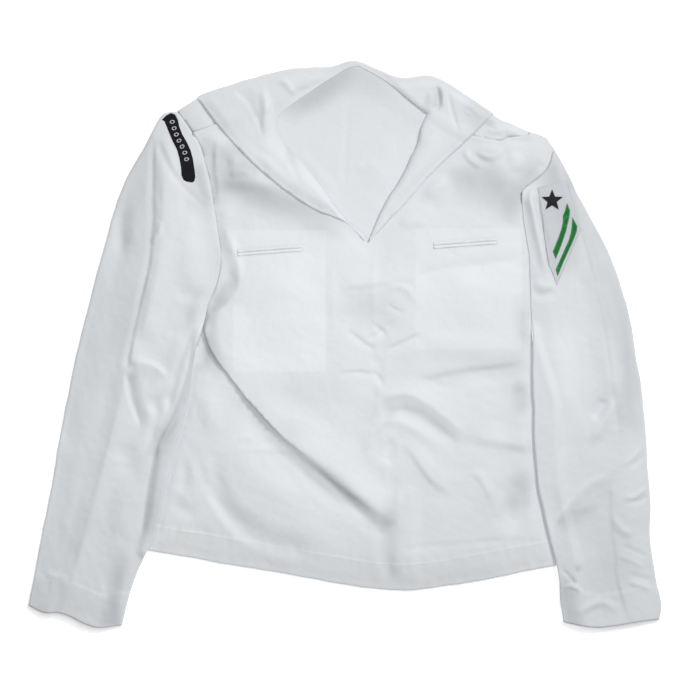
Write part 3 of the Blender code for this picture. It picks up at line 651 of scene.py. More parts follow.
COLLAR_FOLDS = (
    # The left lapel: an arc, a ridge and a trough beside it, and ragged creases at the neck
    Fold(-1.9, 17, 5, 0.22, (-141, 319, -121, 303, -109, 281, -99, 255), 0.6),
    Fold(2.4, 8, 10, 0.25, (-101, 321, -98, 294, -96, 256), 0.3),
    Fold(-2.4, 10, 8, 0.22, (-85, 312, -89, 287, -79, 259, -69, 231, -54, 200), 0.3),
    Fold(1.9, 6, 7, 0.3, (-96, 326, -81, 332, -69, 321, -61, 309), 0.4),
    Fold(1.5, 6, 5, 0.3, (-62, 318, -45, 324, -30, 330, -18, 338), 0.5),
    Fold(-1.4, 4, 5, 0.3, (-66, 328, -50, 334, -34, 338), 0.5),
    soft(-0.8, 12, 0.35, -150, 290, -120, 252, -86, 222),
    Fold(0.9, 14, 10, 0.35, (-104, 240, -84, 206, -56, 180), 0.2),
    # The right lapel: a short deep crease, the ridges beside it and a long thin line
    Fold(-3.6, 4, 4, 0.2, (114, 325, 117, 312, 117, 300, 111, 291), 0.5),
    Fold(2.2, 5, 9, 0.3, (106, 318, 108, 305, 104, 294), 0.1),
    Fold(2.8, 6, 5, 0.3, (120, 332, 123, 312, 121, 294), 0.2),
    Fold(-1.3, 5, 4, 0.22, (126, 332, 131, 301, 137, 276, 143, 262), 0.7),
    Fold(1.4, 10, 14, 0.35, (150, 312, 165, 296, 178, 284), 0.2),
    Fold(0.9, 3, 3, 0.3, (148, 292, 153, 288, 158, 285), 0.5),
    Fold(1.4, 8, 8, 0.3, (75, 333, 95, 336, 112, 338), 0.3),
    Fold(1.8, 14, 12, 0.3, (117, 280, 104, 250, 84, 214, 62, 178), 0.2),
)
SLEEVE_LEFT_FOLDS = (
    # The long crease: a valley from the shoulder to the elbow, then a step to the cuff
    Fold(-3.4, 5.5, 5.5, 0.06, (-239, 265, -240, 231, -241, 181, -242, 138, -246, 104, -252, 74,
        -259, 42, -265, 12, -271, -16, -273, -34), 0.35),
    Fold(2.6, 30, 13, 0.15, (-228, 250, -225, 181, -228, 131, -234, 88, -244, 41, -254, 0), 0.1),
    Fold(2.2, 46, 24, 0.12, (-256, 19, -265, -9, -271, -34, -280, -69, -290, -106, -299, -138,
        -308, -172, -318, -206, -326, -238, -338, -281, -344, -304, -354, -335), 0.25),
    Fold(-1.2, 10, 30, 0.2, (-279, -44, -296, -106, -314, -171, -331, -236, -349, -301)),
    # The facets at the elbow
    Fold(-3.2, 16, 6, 0.2, (-272, -30, -267, -59, -260, -84, -253, -104), 0.7),
    Fold(2.8, 7, 22, 0.2, (-268, -22, -249, -21, -232, -30, -222, -42), 0.8),
    Fold(3.4, 6, 18, 0.2, (-196, -72, -209, -92, -225, -116, -234, -142), 0.7),
    Fold(-2.2, 14, 12, 0.3, (-244, -59, -234, -84, -239, -109, -246, -134), 0.3),
    Fold(-1.8, 16, 16, 0.3, (-211, -66, -231, -71, -246, -84), 0.2),
    # Soft shapes of the upper sleeve and the shoulder
    Fold(2.4, 8, 7, 0.3, (-245, 128, -238, 131, -231, 139, -229, 155), 0.5),
    Fold(2.2, 30, 26, 0.35, (-201, 194, -191, 150, -191, 104, -204, 56)),
    soft(-2.2, 20, 0.35, -209, 56, -199, 31, -209, 0),
    Fold(1.2, 12, 12, 0.3, (-231, 264, -224, 254, -216, 231, -201, 204), 0.2),
    Fold(-1.6, 6, 8, 0.2, (-236, 264, -228, 243, -217, 219, -201, 197, -178, 174, -164, 156), 0.4),
    Fold(-1.4, 16, 14, 0.35, (-211, 66, -194, 61, -174, 69), 0.1),
    soft(-1.8, 18, 0.35, -281, 181, -279, 138, -284, 104),
    Fold(1.6, 16, 16, 0.35, (-261, 194, -261, 150, -269, 104), 0.1),
    # The forearm
    Fold(-1.8, 20, 20, 0.35, (-279, -119, -271, -144, -276, -169), 0.1),
    soft(1.8, 22, 0.35, -269, -156, -276, -200, -286, -244),
    soft(-2.2, 18, 0.35, -296, -319, -284, -288, -276, -250),
    soft(-0.7, 18, 0.35, -351, -219, -359, -256, -366, -294),
    Fold(0.6, 14, 14, 0.35, (-334, -156, -344, -206, -354, -244), 0.1),
    Fold(1.2, 8, 7, 0.3, (-376, -286, -359, -289, -341, -294), 0.5),
)
SLEEVE_RIGHT_FOLDS = (
    # The long crease from the badge to the elbow
    Fold(2.4, 6, 26, 0.1, (279, 201, 289, 174, 296, 141, 309, 96, 320, 46, 330, -6, 335, -54,
        339, -66), 0.5),
    Fold(2.6, 14, 10, 0.25, (340, -62, 335, -75, 324, -91, 315, -106, 306, -126), 0.4),
    Fold(-2.2, 10, 12, 0.25, (326, -66, 319, -79, 309, -94), 0.2),
    # The double line beside the armhole
    Fold(2.8, 8, 7, (0.04, 0.12), (259, 246, 255, 239, 255, 224, 245, 209, 232, 194, 230, 181,
        234, 164, 239, 141, 245, 114, 251, 86), 0.4),
    Fold(-2, 5, 6, 0.15, (238, 189, 241, 169, 248, 146, 254, 119, 258, 91), 0.5),
    Fold(-1.4, 9, 9, 0.3, (232, 70, 246, 62, 265, 66), 0.3),
    Fold(1.4, 9, 9, 0.3, (234, 79, 249, 72, 264, 75), 0.3),
    # The lower step that runs to the cuff
    Fold(1.4, 26, 5, 0.15, (332, -161, 334, -194, 335, -231, 339, -259, 342, -294, 350, -326,
        354, -346), 0.4),
    Fold(2, 9, 10, 0.3, (335, -210, 340, -225, 349, -232, 361, -236), 0.4),
    # Facets and wrinkles of the forearm
    Fold(1.6, 26, 8, 0.25, (338, -158, 306, -176, 286, -196, 264, -226), 0.5),
    Fold(0.7, 18, 8, 0.3, (284, -209, 306, -199, 326, -191), 0.5),
    Fold(-0.7, 18, 18, 0.35, (276, -229, 299, -219, 321, -216), 0.2),
    *(Fold(height, 4.5, 5.5, 0.25, path, 0.8) for height, path in (
        (1.56, (381, -176, 369, -184, 359, -191, 344, -188)),
        (-1.43, (381, -186, 366, -196, 351, -196)),
        (1.29, (379, -119, 369, -129, 359, -139, 344, -151)),
        (-1.29, (379, -134, 366, -144, 354, -154)),
        (1.43, (336, -260, 346, -264, 359, -270, 376, -279)),
        (-1.43, (344, -249, 359, -256, 379, -266)),
        (1.43, (351, -294, 366, -298, 384, -304)),
        (-1.29, (354, -285, 369, -289, 386, -294)),
        (2.07, (269, -306, 282, -300, 298, -310)),
        (-2.07, (269, -279, 279, -288, 290, -300)),
    )),
    Fold(1.8, 8, 8, 0.3, (286, -339, 301, -328, 321, -321, 344, -336), 0.4),
    Fold(2, 24, 26, 0.35, (269, 19, 271, -44, 279, -106)),
    soft(-2.2, 22, 0.35, 254, -169, 266, -206, 269, -250),
    soft(-1.6, 20, 0.35, 354, 19, 359, -44, 361, -94),
    Fold(1.4, 14, 12, 0.35, (346, 69, 346, 6, 349, -50), 0.2),
)
NECK_FOLDS = (
    Fold(-0.8, 6, 8, 0.2, (5, 296, 2, 256, 1, 225, -1, 196), 0.8),
    soft(1.2, 24, 0.35, 59, 269, 49, 231, 34, 186),
    Fold(1, 9, 9, 0.35, (9, 224, 24, 221, 44, 231), 0.3),
    Fold(1.4, 18, 10, 0.3, (-66, 244, -51, 226, -34, 206, -14, 181), 0.2),
)
# Painted shade: bands where the cloth is painted greyer for shaded hollows and slopes, or paler as
# painted light for a negative depth
BODY_PAINTED_SHADE = (
    Fold(0.16, 26, 30, 0.3, (-165, 232, -140, 205, -100, 184, -56, 168, -10, 146)),
    Fold(0.10, 30, 26, 0.35, (-180, 270, -172, 230, -166, 180)),
    soft(0.12, 28, 0.2, -206, 190, -172, 190, -138, 188, -81, 175, -19, 146, 10, 130),
    Fold(0.10, 4, 26, 0.15, (-155, 160, -152, 144, -136, 104, -134, 76, -152, 50, -176, 36)),
    soft(0.10, 12, 0.3, -146, 98, -138, 84, -144, 66),
    soft(0.15, 34, 0.3, 112, 208, 152, 202, 190, 188, 212, 158),
    soft(0.13, 20, 0.3, 226, 246, 231, 215, 218, 190, 208, 160, 200, 140),
    soft(0.05, 24, 0.35, 210, 60, 214, 0, 212, -60, 216, -130, 220, -190),
    soft(0.12, 18, 0.35, 214, 60, 222, 20, 220, -12),
    soft(0.12, 16, 0.35, 212, -40, 220, -68, 216, -96),
    soft(0.15, 26, 0.35, 232, -150, 218, -182, 202, -216),
    soft(0.15, 15, 0.3, -178, 22, -172, -12, -186, -42),
    Fold(0.08, 14, 16, 0.25, (-168, -128, -152, -170, -129, -205, -90, -232, -31, -252)),
    Fold(0.12, 14, 20, (0.4, 0.1), (-60, -132, -24, -160, 14, -190, 44, -214, 66, -230)),
    Fold(0.13, 13, 13, (0.5, 0.15), (60, -170, 52, -216, 56, -262, 62, -304)),
    Fold(0.05, 22, 26, 0.3, (42, -64, 66, -72, 100, -86, 140, -112)),
    Fold(0.24, 5, 6, 0.3, (160, 290, 170, 284, 180, 277, 190, 272)),
    Fold(0.16, 3, 36, 0.2, (-84, 282, -74, 294, -61, 309, -40, 319, -19, 334, 0, 344, 22, 346)),
    Fold(0.09, 16, 22, 0.3, (-74, 292, -52, 300, -26, 313, 2, 334)),
    Fold(0.08, 40, 60, 0.35, (-60, 330, 10, 350, 90, 320)),
    soft(0.05, 30, 0.4, -4, 70, 40, 40, 70, -20, 40, -60),
    soft(0.045, 30, 0.35, -14, 52, 20, 50, 60, 44, 84, 30),
    soft(0.05, 40, 0.3, -150, -70, -100, -62, -40, -58, 20, -70),
    Fold(0.15, 44, 36, 0.3, (-146, 262, -144, 222, -150, 184)),
    soft(0.07, 60, 0.3, -220, -190, -120, -250, 40, -292, 160, -285, 270, -270),
    Fold(0.05, 50, 60, 0.35, (40, -150, 120, -190, 230, -220)),
    Fold(0.05, 26, 40, 0.35, (-170, 10, -140, -60, -160, -120)),
    Fold(0.15, 13, 15, 0.3, (-160, 66, -165, 34, -165, 4, -158, -26, -150, -50)),
    Fold(0.13, 11, 27, 0.3, (-84, -106, -50, -138, -22, -164, 14, -192, 40, -212)),
    soft(0.10, 12, 0.3, -136, 228, -120, 220, -102, 208),
    Fold(0.10, 26, 24, 0.3, (140, 248, 166, 234, 190, 200, 198, 160, 196, 130)),
    soft(0.08, 26, 0.3, 70, -6, 120, -10, 170, -18, 244, -26),
    soft(0.10, 12, 0.3, 30, -48, 48, -66, 58, -84, 46, -104),
    soft(0.07, 24, 0.3, -150, -66, -110, -88, -70, -104, -30, -112),
    soft(-0.06, 14, 0.3, -106, 190, -78, 174, -50, 162, -24, 152),
    soft(-0.09, 7, 0.3, -166, 262, -168, 225, -164, 186),
    Fold(0.10, 11, 12, 0.3, (-166, 200, -140, 198, -110, 196, -80, 186)),
    soft(0.10, 11, 0.3, -146, 84, -154, 60, -164, 38, -168, 16),
)
# Painted shade on the collar, with paler painted light where the depth is under 0
COLLAR_PAINTED_SHADE = (
    soft(0.05, 16, 0.3, -128, 311, -112, 286, -98, 250),
    soft(0.04, 16, 0.3, -78, 300, -84, 271, -76, 235),
    soft(0.10, 14, 0.3, 118, 330, 114, 305, 104, 290),
    soft(0.10, 24, 0.35, 150, 310, 170, 285, 186, 280),
    soft(-0.07, 40, 0.3, -156, 272, -116, 226, -64, 186),
    soft(0.05, 12, 0.35, -40, 340, 15, 352, 60, 330, 100, 335),
    soft(0.09, 12, 0.3, -72, 310, -68, 280, -67, 246, -66, 206),
)
# Painted shade on each sleeve, with paler painted light where the depth is under 0
SLEEVE_PAINTED_SHADE = (
    Fold(0.12, 3, 90, (0.06, 0.3), (-238, 272, -240, 231, -241, 181, -246, 104, -259, 42, -271, -16,
        -284, -80)),
    Fold(0.04, 3, 90, (0.3, 0.06), (-259, 42, -271, -16, -290, -106, -308, -172, -338, -281,
        -354, -335, -358, -350)),
    Fold(0.22, 26, 4, 0.12, (-186, 19, -194, -31, -211, -81, -228, -119, -238, -150, -244, -181,
        -249, -219, -254, -256)),
    soft(-0.05, 34, 0.35, -206, 190, -198, 140, -206, 90),
    soft(-0.05, 44, 0.35, 262, 60, 275, -20, 285, -120),
    Fold(0.09, 62, 7, 0.25, (350, -150, 341, -156, 306, -175, 287, -194, 265, -225, 258, -250)),
    Fold(0.13, 18, 3, 0.2, (-272, -26, -267, -59, -260, -84, -250, -112)),
    Fold(0.22, 14, 22, (0.4, 0.05), (-276, -252, -283, -290, -290, -352)),
    Fold(0.20, 24, 16, (0.5, 0.05), (268, -285, 275, -319, 284, -354)),
    soft(0.07, 26, 0.3, -186, 240, -180, 190, -178, 150),
    soft(0.03, 30, 0.3, -235, -60, -262, -150, -290, -250, -300, -330),
    soft(0.16, 30, 0.2, 256, 250, 262, 205, 272, 150, 270, 80),
    Fold(0.12, 46, 4, 0.1, (272, 226, 279, 201, 296, 141, 320, 46, 335, -54, 346, -120)),
    soft(0.08, 60, 0.3, 330, -190, 335, -260, 335, -330),
    Fold(0.07, 24, 26, 0.3, (-192, 60, -202, 26, -212, -6, -222, -44)),
    soft(-0.06, 18, 0.3, -280, 200, -290, 120, -298, 50, -304, -30),
    soft(-0.06, 34, 0.3, -350, -60, -358, -140, -368, -230, -374, -345),
    Fold(0.09, 14, 12, 0.3, (320, 116, 330, 84, 346, 40, 352, 0, 356, -60, 362, -130)),
    soft(-0.08, 12, 0.3, 328, 36, 333, -4, 337, -44, 340, -76),
    soft(-0.09, 12, 0.3, -216, -54, -220, -84, -222, -114),
    Fold(0.13, 11, 9, 0.3, (-186, 232, -181, 208, -175, 186, -170, 168)),
    Fold(0.08, 12, 10, 0.3, (-180, 78, -188, 50, -196, 16)),
)


def top_edge(x: Array) -> Array:
    """The height on the page of the garment's top edge at each x."""
    line = smooth_line(TOP_EDGE, 3)
    return np.interp(x, line[:, 0], line[:, 1])


def body_top(x: Array) -> Array:
    """The body's top edge, which lies inside the collar's roll and meets the outline beside it.

    Args:
        x: Where along the page.

    Returns:
        The height on the page at each x.
    """
    past_left, past_right = x - LAPEL_LEFT[0][0], LAPEL_RIGHT[-1][0] - x
    covered = eased(past_left / ROLL_BLEND + 1.5) * eased(past_right / ROLL_BLEND + 1.5)
    return top_edge(x) - covered * (COLLAR_ROLL - BODY_ROLL + ROLL_CLEAR)


def flap_outline(step: float) -> list[Array]:
    """The collar's square flap under the back, from the left end of its roll to the right end.

    Args:
        step: The spacing of its points.

    Returns:
        Its left side, its lower edge and its right side.
    """
    (low_left, high_left), (high_right, low_right) = FLAP_SIDE_LEFT, FLAP_SIDE_RIGHT
    return [
        smooth_line((LAPEL_LEFT[0], high_left, low_left), step, True),
        smooth_line((low_left, low_right), step),
        smooth_line((low_right, high_right, LAPEL_RIGHT[-1]), step, True),
    ]


def under_lift(places: Array) -> Array:
    """How far the flap under the back raises what lies on it.

    Args:
        places: Places in plan, one a row.

    Returns:
        The rise at each place.
    """
    left, right = LAPEL_LEFT[0], LAPEL_RIGHT[-1]
    top = smooth_line((right, (right[0], PAST_TOP), (left[0], PAST_TOP), left), 20, True)
    region = joined(*flap_outline(16), top)
    distance = apart(closed(region), places)
    distance[inside(region, places)] = 0
    return FLAP_LIFT * eased(1 - (distance - FLAP_MARGIN) / FLAP_RAMP)


def collar_cover() -> Array:
    """The outline of what the collar's lapels cover, its neck opening filled.

    Returns:
        The outline's points in turn.
    """
    top = smooth_line(TOP_EDGE, 8)
    top = top[(top[:, 0] > LAPEL_LEFT[0][0]) & (top[:, 0] < LAPEL_RIGHT[-1][0])]
    return joined(smooth_line(LAPEL_LEFT, 8), smooth_line(LAPEL_RIGHT, 8), closed(top[::-1]))


def beyond_lapels(places: Array) -> Array:
    """How far each place is from what the collar covers, or 0 where it is covered."""
    cover = collar_cover()
    return apart(closed(cover), places) * ~inside(cover, places)


def neck_edge(step: float) -> Array:
    """The line round the neck where the collar rolls over, with points about a step apart."""
    left, top, right = (smooth_line(line, step) for line in (ROLL_LEFT, ROLL_TOP, ROLL_RIGHT))
    return np.vstack([left[:-1], top[:-1], right])


def lower_edges(step: float) -> list[Array]:
    """The body's left side, its hem and its right side, as they follow each other."""
    return [smooth_line(line, step) for line in (SIDE_LEFT, HEM, SIDE_RIGHT[::-1])]


def neck_rise(places: Array) -> Array:
    """How far the back's cloth rises towards the collar's roll round the back of the neck.

    Args:
        places: Places in plan, one a row.

    Returns:
        The rise at each place.
    """
    roll = np.vstack([smooth_line(ROLL_LEFT[3:], 5)[:-1], smooth_line(ROLL_TOP, 5)])
    distance, station = along(roll, places)
    share = station / lengths_along(roll)[-1]
    into = np.where(distance < 0, eased(1 + distance / NECK_SLOPE), eased(1 - distance / 8))
    return NECK_RISE * into * eased(share / 0.25)


def body_base(places: Array) -> Array:
    """The front's outer face before its loft and folds."""
    return under_lift(places) + BODY_THICK


def inner_face(places: Array) -> Array:
    """The back's inner face, as it shows in the neck."""
    return under_lift(places) + CLOTH + neck_rise(places)


def settled(places: Array) -> Array:
    """Places with the small unevenness that all edges and seams of the shirt share."""
    drift = [waves(places, 90, seed) + 0.5 * waves(places, 34, seed + 9) for seed in (61, 62)]
    return places + WANDER * np.column_stack(drift)


class Slot(Enum):
    """The record's material slots."""

    TWILL = "white_twill"
    PATCH = "white_patch"
    TAPE = "black_tape"
    FELT = "green_felt"
    THREAD = "black_thread"


@dataclass
class Maker:
    """Makes the shown pieces out of meshes and keeps each one by name."""

    made: dict[str, bpy.types.Object] = field(default_factory=dict)

    def piece(
        self,
        name: str,
        points: Array,
        faces: Array,
        material: Material,
        slot: Slot,
        stands_for: tuple[str, ...] = (),
        wall: Array | float = 0.0,
        tones: tuple = (),
    ) -> bpy.types.Object:
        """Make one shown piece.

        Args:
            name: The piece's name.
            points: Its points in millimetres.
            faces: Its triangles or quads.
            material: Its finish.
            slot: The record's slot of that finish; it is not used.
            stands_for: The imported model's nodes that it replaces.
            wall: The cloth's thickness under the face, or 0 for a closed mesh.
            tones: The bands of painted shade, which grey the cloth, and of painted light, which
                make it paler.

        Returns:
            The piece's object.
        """
        # Painted shade and painted light: the depth of grey at each point, kept on the mesh for the
        # material
        painted_shade = painted_shade_depth(tones, points[:, :2])
        rim = np.zeros((0, 4), int)
        if np.any(wall):
            painted_shade = np.tile(painted_shade, 2)
            points, faces, rim = shelled(points, faces, wall)
        mesh = bpy.data.meshes.new(name)
        mesh.from_pydata((points * MM).tolist(), [], faces.tolist() + rim.tolist())
        smooth = np.arange(len(faces) + len(rim)) < len(faces)
        mesh.polygons.foreach_set("use_smooth", smooth)
        mesh.materials.append(material)
        if tones:
            mesh.attributes.new("painted_shade", "FLOAT", "POINT").data.foreach_set("value", painted_shade)
        piece = bpy.data.objects.new(name, mesh)
        bpy.context.scene.collection.objects.link(piece)
        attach(piece, "root")
        if stands_for:
            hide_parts(*stands_for)
        self.made[name] = piece
        log.info("%s: %d faces", name, len(faces))
        return piece


@dataclass
class Back:
    """The back: flat under the body, over the shoulder edges and down to the shoulder seams."""

    step: float = 13.0
    flat: tuple[float, float] = (0.54, 0.66)
    area: float = 0.322

    def outline(self, step: float) -> Array:
        """The back's pattern, whose second coordinate is the cloth past the start of the roll.

        Args:
            step: The spacing of its points.

        Returns:
            The pattern's points in turn.
        """
        count = max(2, round(280 / step))
        shares = np.linspace(0, 1, count)
        left, right = at_shares(ARMHOLE_LEFT, shares), at_shares(ARMHOLE_RIGHT, shares)
        seam_left, seam_right = shoulder_seams(step)
        left_neck, right_neck = seam_left[-1, 0], seam_right[0, 0]
        below = joined(left, *lower_edges(step), right[::-1])
        neck = np.linspace(right_neck, left_neck, max(6, round(180 / step)))
        drop = BODY_ROLL + (BACK_NECK_DROP - BODY_ROLL) * eased(
            np.minimum(right_neck - neck, neck - left_neck) / 12
        )
        over = at_shares(ARMHOLE_LEFT, np.linspace(0, SEAM_SHARE, max(3, round(30 / step)))[1:-1])
        shoulder = np.array([258, *SHOULDER_RIGHT_X[:-1], seam_right[-1, 0]])
        outline = np.vstack([
            self.down(below),
            self.edge(shoulder, BODY_ROLL),
            self.up(seam_right[::-1]),
            self.edge(neck, drop),
            self.up(seam_left[::-1]),
            self.up(over),
        ])
        return inset(outline, SEAM_GAP / 2)

    @staticmethod
    def down(line: Array) -> Array:
        """The pattern points of places on the lower part."""
        return unrolled(line, body_top, BODY_ROLL, below=True)

    @staticmethod
    def up(line: Array) -> Array:
        """The pattern points of places on the part that is turned over."""
        return unrolled(line, body_top, BODY_ROLL)

    def edge(self, x: Array, drop: Array | float) -> Array:
        """The pattern points a drop below the top edge."""
        return self.down(np.column_stack([x, body_top(x) - drop]))

    def build(self, maker: Maker, twill: Material) -> None:
        """Make the back.

        Args:
            maker: What adds the pieces to the scene.
            twill: The material of the cloth.
        """
        seam_left, seam_right = shoulder_seams(self.step)
        lines = roll_rows(BODY_ROLL, ARMHOLE_LEFT[0][0], seam_left[-1, 0])
        lines += roll_rows(BODY_ROLL, seam_right[0, 0], seam_right[-1, 0])
        flap = joined(*flap_outline(self.step))
        lines += [self.down(inset(flap, -FLAP_MARGIN - ramp)) for ramp in (0, FLAP_RAMP)]
        sheet = Sheet.filled(self.outline, lines, self.step)
        points = rolled(sheet.points, body_top, BODY_ROLL, self.low, self.high)
        faces, node = sheet.faces[:, ::-1], ("back_panel",)
        maker.piece("back_cloth", points, faces, twill, Slot.TWILL, node, CLOTH, BODY_PAINTED_SHADE)

    @staticmethod
    def low(places: Array) -> Array:
        """The outer face of the part below: flat on the table and raised at the neck.

        Args:
            places: Places in plan, one a row.

        Returns:
            The height at each place.
        """
        opening = neck_edge(6)
        depth = apart(opening, places) * inside(opening, places)
        raised = relief(NECK_FOLDS, places)[0] * eased(depth / 10)
        return under_lift(places) + neck_rise(places) + np.maximum(raised, -0.5) * (depth > 0)

    @staticmethod
    def high(places: Array) -> Array:
        """The outer face of the shoulders that are turned over on to the front."""
        return body_base(places) + shoulder_relief(places)


def sleeve_lines(armhole: Line, split: int, inner: Line) -> tuple[Array, Array]:
    """The part of an armhole that a sleeve's end follows, and the sleeve's whole inner edge.

    Args:
        armhole: The armhole's points, from the shoulder seam down.
        split: The number of the point where the sleeve's inner edge leaves it.
        inner: The rest of the sleeve's inner edge.

    Returns:
        The line that the sleeve's end follows, and its inner edge.
    """
    whole = smooth_line(armhole, 1.5)
    at = np.argmin(np.linalg.norm(whole - armhole[split], axis=1))
    return whole[: at + 1], joined(whole[at:], smooth_line(inner, 3))[:-1]


def shoulder_seams(step: float) -> tuple[Array, Array]:
    """The shoulder seams: the left one from its armhole to the neck, the right one from the neck.

    Args:
        step: The spacing of its points.

    Returns:
        The left seam and the right one.
    """
    start = at_shares(ARMHOLE_LEFT, np.array([SEAM_SHARE]))[0]
    left = smooth_line((start, *SHOULDER_SEAM_LEFT), step)
    return left, smooth_line(SHOULDER_SEAM_RIGHT, step)


def shoulder_relief(places: Array) -> Array:
    """The loft and creases that the shoulder and the front share, which die out at the edges.

    Args:
        places: Places in plan, one a row.

    Returns:
        The height of the relief at each place.
    """
    from_top = body_top(places[:, 0]) - BODY_ROLL - places[:, 1]
    lapel = beyond_lapels(places)
    armholes = (smooth_line(ARMHOLE_LEFT, 6)[:-2], smooth_line(ARMHOLE_RIGHT, 6))
    arms = [apart(line, places) for line in armholes]
    free = eased(from_top / 9) * eased(lapel / 12) * eased(np.min(arms, axis=0) / 12)
    return free * np.maximum(1.3 + relief(FRONT_FOLDS, places)[0], -0.6)


def rolled(pattern: Array, top: Callable, radius: float, low: Callable, high: Callable) -> Array:
    """Lay a flat pattern out face down, with what passes the top edge rolled over to the front.

    Args:
        pattern: Its points, each an x and the cloth between it and the start of the roll.
        top: Gives the top edge at each x.
        radius: The roll's radius.
        low: Gives the outer face's height where it isn't turned over.
        high: Gives that height where it is.

    Returns:
        The points in space.
    """
    x, past = pattern.T
    angle = np.clip(past / radius, 0, pi)
    over = np.maximum(past - pi * radius, 0)
    y = top(x) - radius + np.where(past < 0, past, radius * np.sin(angle) - over)
    places = np.column_stack([x, y])
    share = (1 - np.cos(angle)) / 2
    return np.column_stack([settled(places), low(places) * (1 - share) + high(places) * share])


def unrolled(places: Array, top: Callable, radius: float, below: bool = False) -> Array:
    """The pattern points of places on the rolled-over part, or on the part below it.

    Args:
        places: Places in plan, one a row.
        top: Gives the top edge at each x.
        radius: The roll's radius.
        below: Whether the places are on the part below.

    Returns:
        Each x, and the cloth past the start of the roll.
    """
    start = top(places[:, 0]) - radius
    turn = np.arcsin(np.clip((places[:, 1] - start) / radius, 0, 1))
    short = np.maximum(start - places[:, 1], 0)
    past = turn * radius - short if below else (pi - turn) * radius + short
    return np.column_stack([places[:, 0], past])


def roll_rows(radius: float, left: float, right: float) -> list[Array]:
    """Lines across a pattern that divide its roll into flat strips.

    Args:
        radius: The roll's radius.
        left: Where they end on the left.
        right: Where they end on the right.

    Returns:
        The lines, from the start of the roll to its end.
    """
    x = np.arange(TOP_EDGE[0][0], TOP_EDGE[-1][0], 9.0)
    x = x[(x > left) & (x < right)]
    shares = np.linspace(0, 1, 5)
    return [np.column_stack([x, np.full(len(x), share * pi * radius)]) for share in shares]


@dataclass
class Front:
    """The front: its turned-up hem, the V of its neck and its folds."""

    step: float = 11.5
    hem_band: float = 33.0
    loft: float = 3.8
    edge: float = 16.0
    flat: tuple[float, float] = (0.54, 0.64)
    area: float = 0.285

    def outline(self, step: float) -> Array:
        """The front's outline in plan.

        Args:
            step: The spacing of its points.

        Returns:
            The outline's points in turn.
        """
        seam_left, seam_right = shoulder_seams(step)
        count = max(2, round(280 / step))
        left = at_shares(ARMHOLE_LEFT, np.linspace(SEAM_SHARE, 1, count))
        left = left - (0.9 * self.by_armpit(left))[:, None] * sideways(left)
        right = at_shares(ARMHOLE_RIGHT, np.linspace(0, 1, count))
        shoulder_x = np.array(SHOULDER_RIGHT_X)
        shoulder = np.column_stack([shoulder_x, body_top(shoulder_x) - SEAM_GAP])
        seam_left = seam_left + LAP * sideways(seam_left)
        seam_right = seam_right + LAP * sideways(seam_right)
        outline = joined(
            seam_left[::-1],
            left,
            *lower_edges(step),
            right[::-1],
            np.vstack([right[:1], shoulder, seam_right[-1:]]),
            seam_right[::-1],
            smooth_line(FRONT_NECK_RIGHT, step),
            smooth_line(FRONT_NECK_LEFT[::-1], step),
        )
        return inset(outline, SEAM_GAP / 2)

    @staticmethod
    def by_armpit(places: Array) -> Array:
        """How much the front closes over the sleeve's rounded side, down the left armhole."""
        return eased((112 - places[:, 1]) / 20) * eased((places[:, 1] - 36) / 14)

    def armpit_lap(self, places: Array) -> Array:
        """How near places are to where the front closes over the sleeve."""
        near = eased(1 - apart(smooth_line(ARMHOLE_LEFT, 5), places) / 8)
        return self.by_armpit(places) * near

    def face(self, places: Array) -> tuple[Array, Array]:
        """The front's outer face.

        Args:
            places: Places in plan.

        Returns:
            The face's height over each, and each one's sideways shift.
        """
        rim = closed(self.outline(6))
        from_rim = apart(rim, places)
        hem, station = along(smooth_line(HEM, 6), places)
        lapel = beyond_lapels(places)
        armpit = np.linalg.norm(places - SIDE_LEFT[1], axis=1)
        reach = self.edge - 10 * eased(1.4 - armpit / 60)
        free = eased(from_rim / reach) * eased(lapel / self.edge)
        for line, side, reach in ((SLEEVE_LEFT_INNER, 1, 8), (SLEEVE_RIGHT_INNER, -1, 12)):
            past = side * along(smooth_line(line, 6), places)[0]
            below = places[:, 1] < 37
            free *= np.where(below, eased(past / reach), 1)
        raised, shifts = relief(FRONT_FOLDS, places)
        fine = uneven(places, (waves, 0.42, 52, 11), (crumple, 0.28, 70, 14), (waves, 0.12, 17, 12))
        loft = self.loft * (0.25 + 0.75 * eased(from_rim / 48))
        height = body_base(places) + free * np.maximum(loft + raised + fine, 0)
        band = self.hem_band - abs(hem)
        height += 0.4 * eased(band / 2.4 + 0.5)
        height += pucker(band, station, 15, 9, 5) * 0.45 * eased(from_rim / 5)
        height += pucker(hem, station, 21, 12, 6) * 0.5
        height += shoulder_pucker(places)
        height += LAP_LIFT * near_lap(places, 6) + over_armhole(places)
        height += 0.35 * self.armpit_lap(places)
        height -= CLOTH * (1 - rounded(abs(hem) / 2.2))
        return height, shifts * free[:, None]

    def build(self, maker: Maker, twill: Material) -> Ground:
        """Make the front and return its face for what lies on it.

        Args:
            maker: What adds the pieces to the scene.
            twill: The material of the cloth.

        Returns:
            The front's outer face.
        """
        hem = smooth_line(HEM, self.step)
        lines = [hem + (0, self.hem_band + rise) for rise in (-1.8, 1.6)] + [hem + (0, 2.5)]
        covers = (SLEEVE_LEFT_INNER, SLEEVE_RIGHT_INNER, LAPEL_LEFT, LAPEL_RIGHT)
        lines += [smooth_line(line, self.step) for line in covers]
        sheet = Sheet.filled(self.outline, lines, self.step)
        height, shifts = self.face(sheet.points)
        points = np.column_stack([settled(sheet.points + shifts), height])
        laps = np.maximum(near_lap(sheet.points, 8), self.armpit_lap(sheet.points))
        wall, node = CLOTH * (1 - LAP_THINNING * laps), ("front_panel",)
        maker.piece("front_cloth", points, sheet.faces, twill, Slot.TWILL, node, wall, BODY_PAINTED_SHADE)
        return Ground(points, sheet.faces)


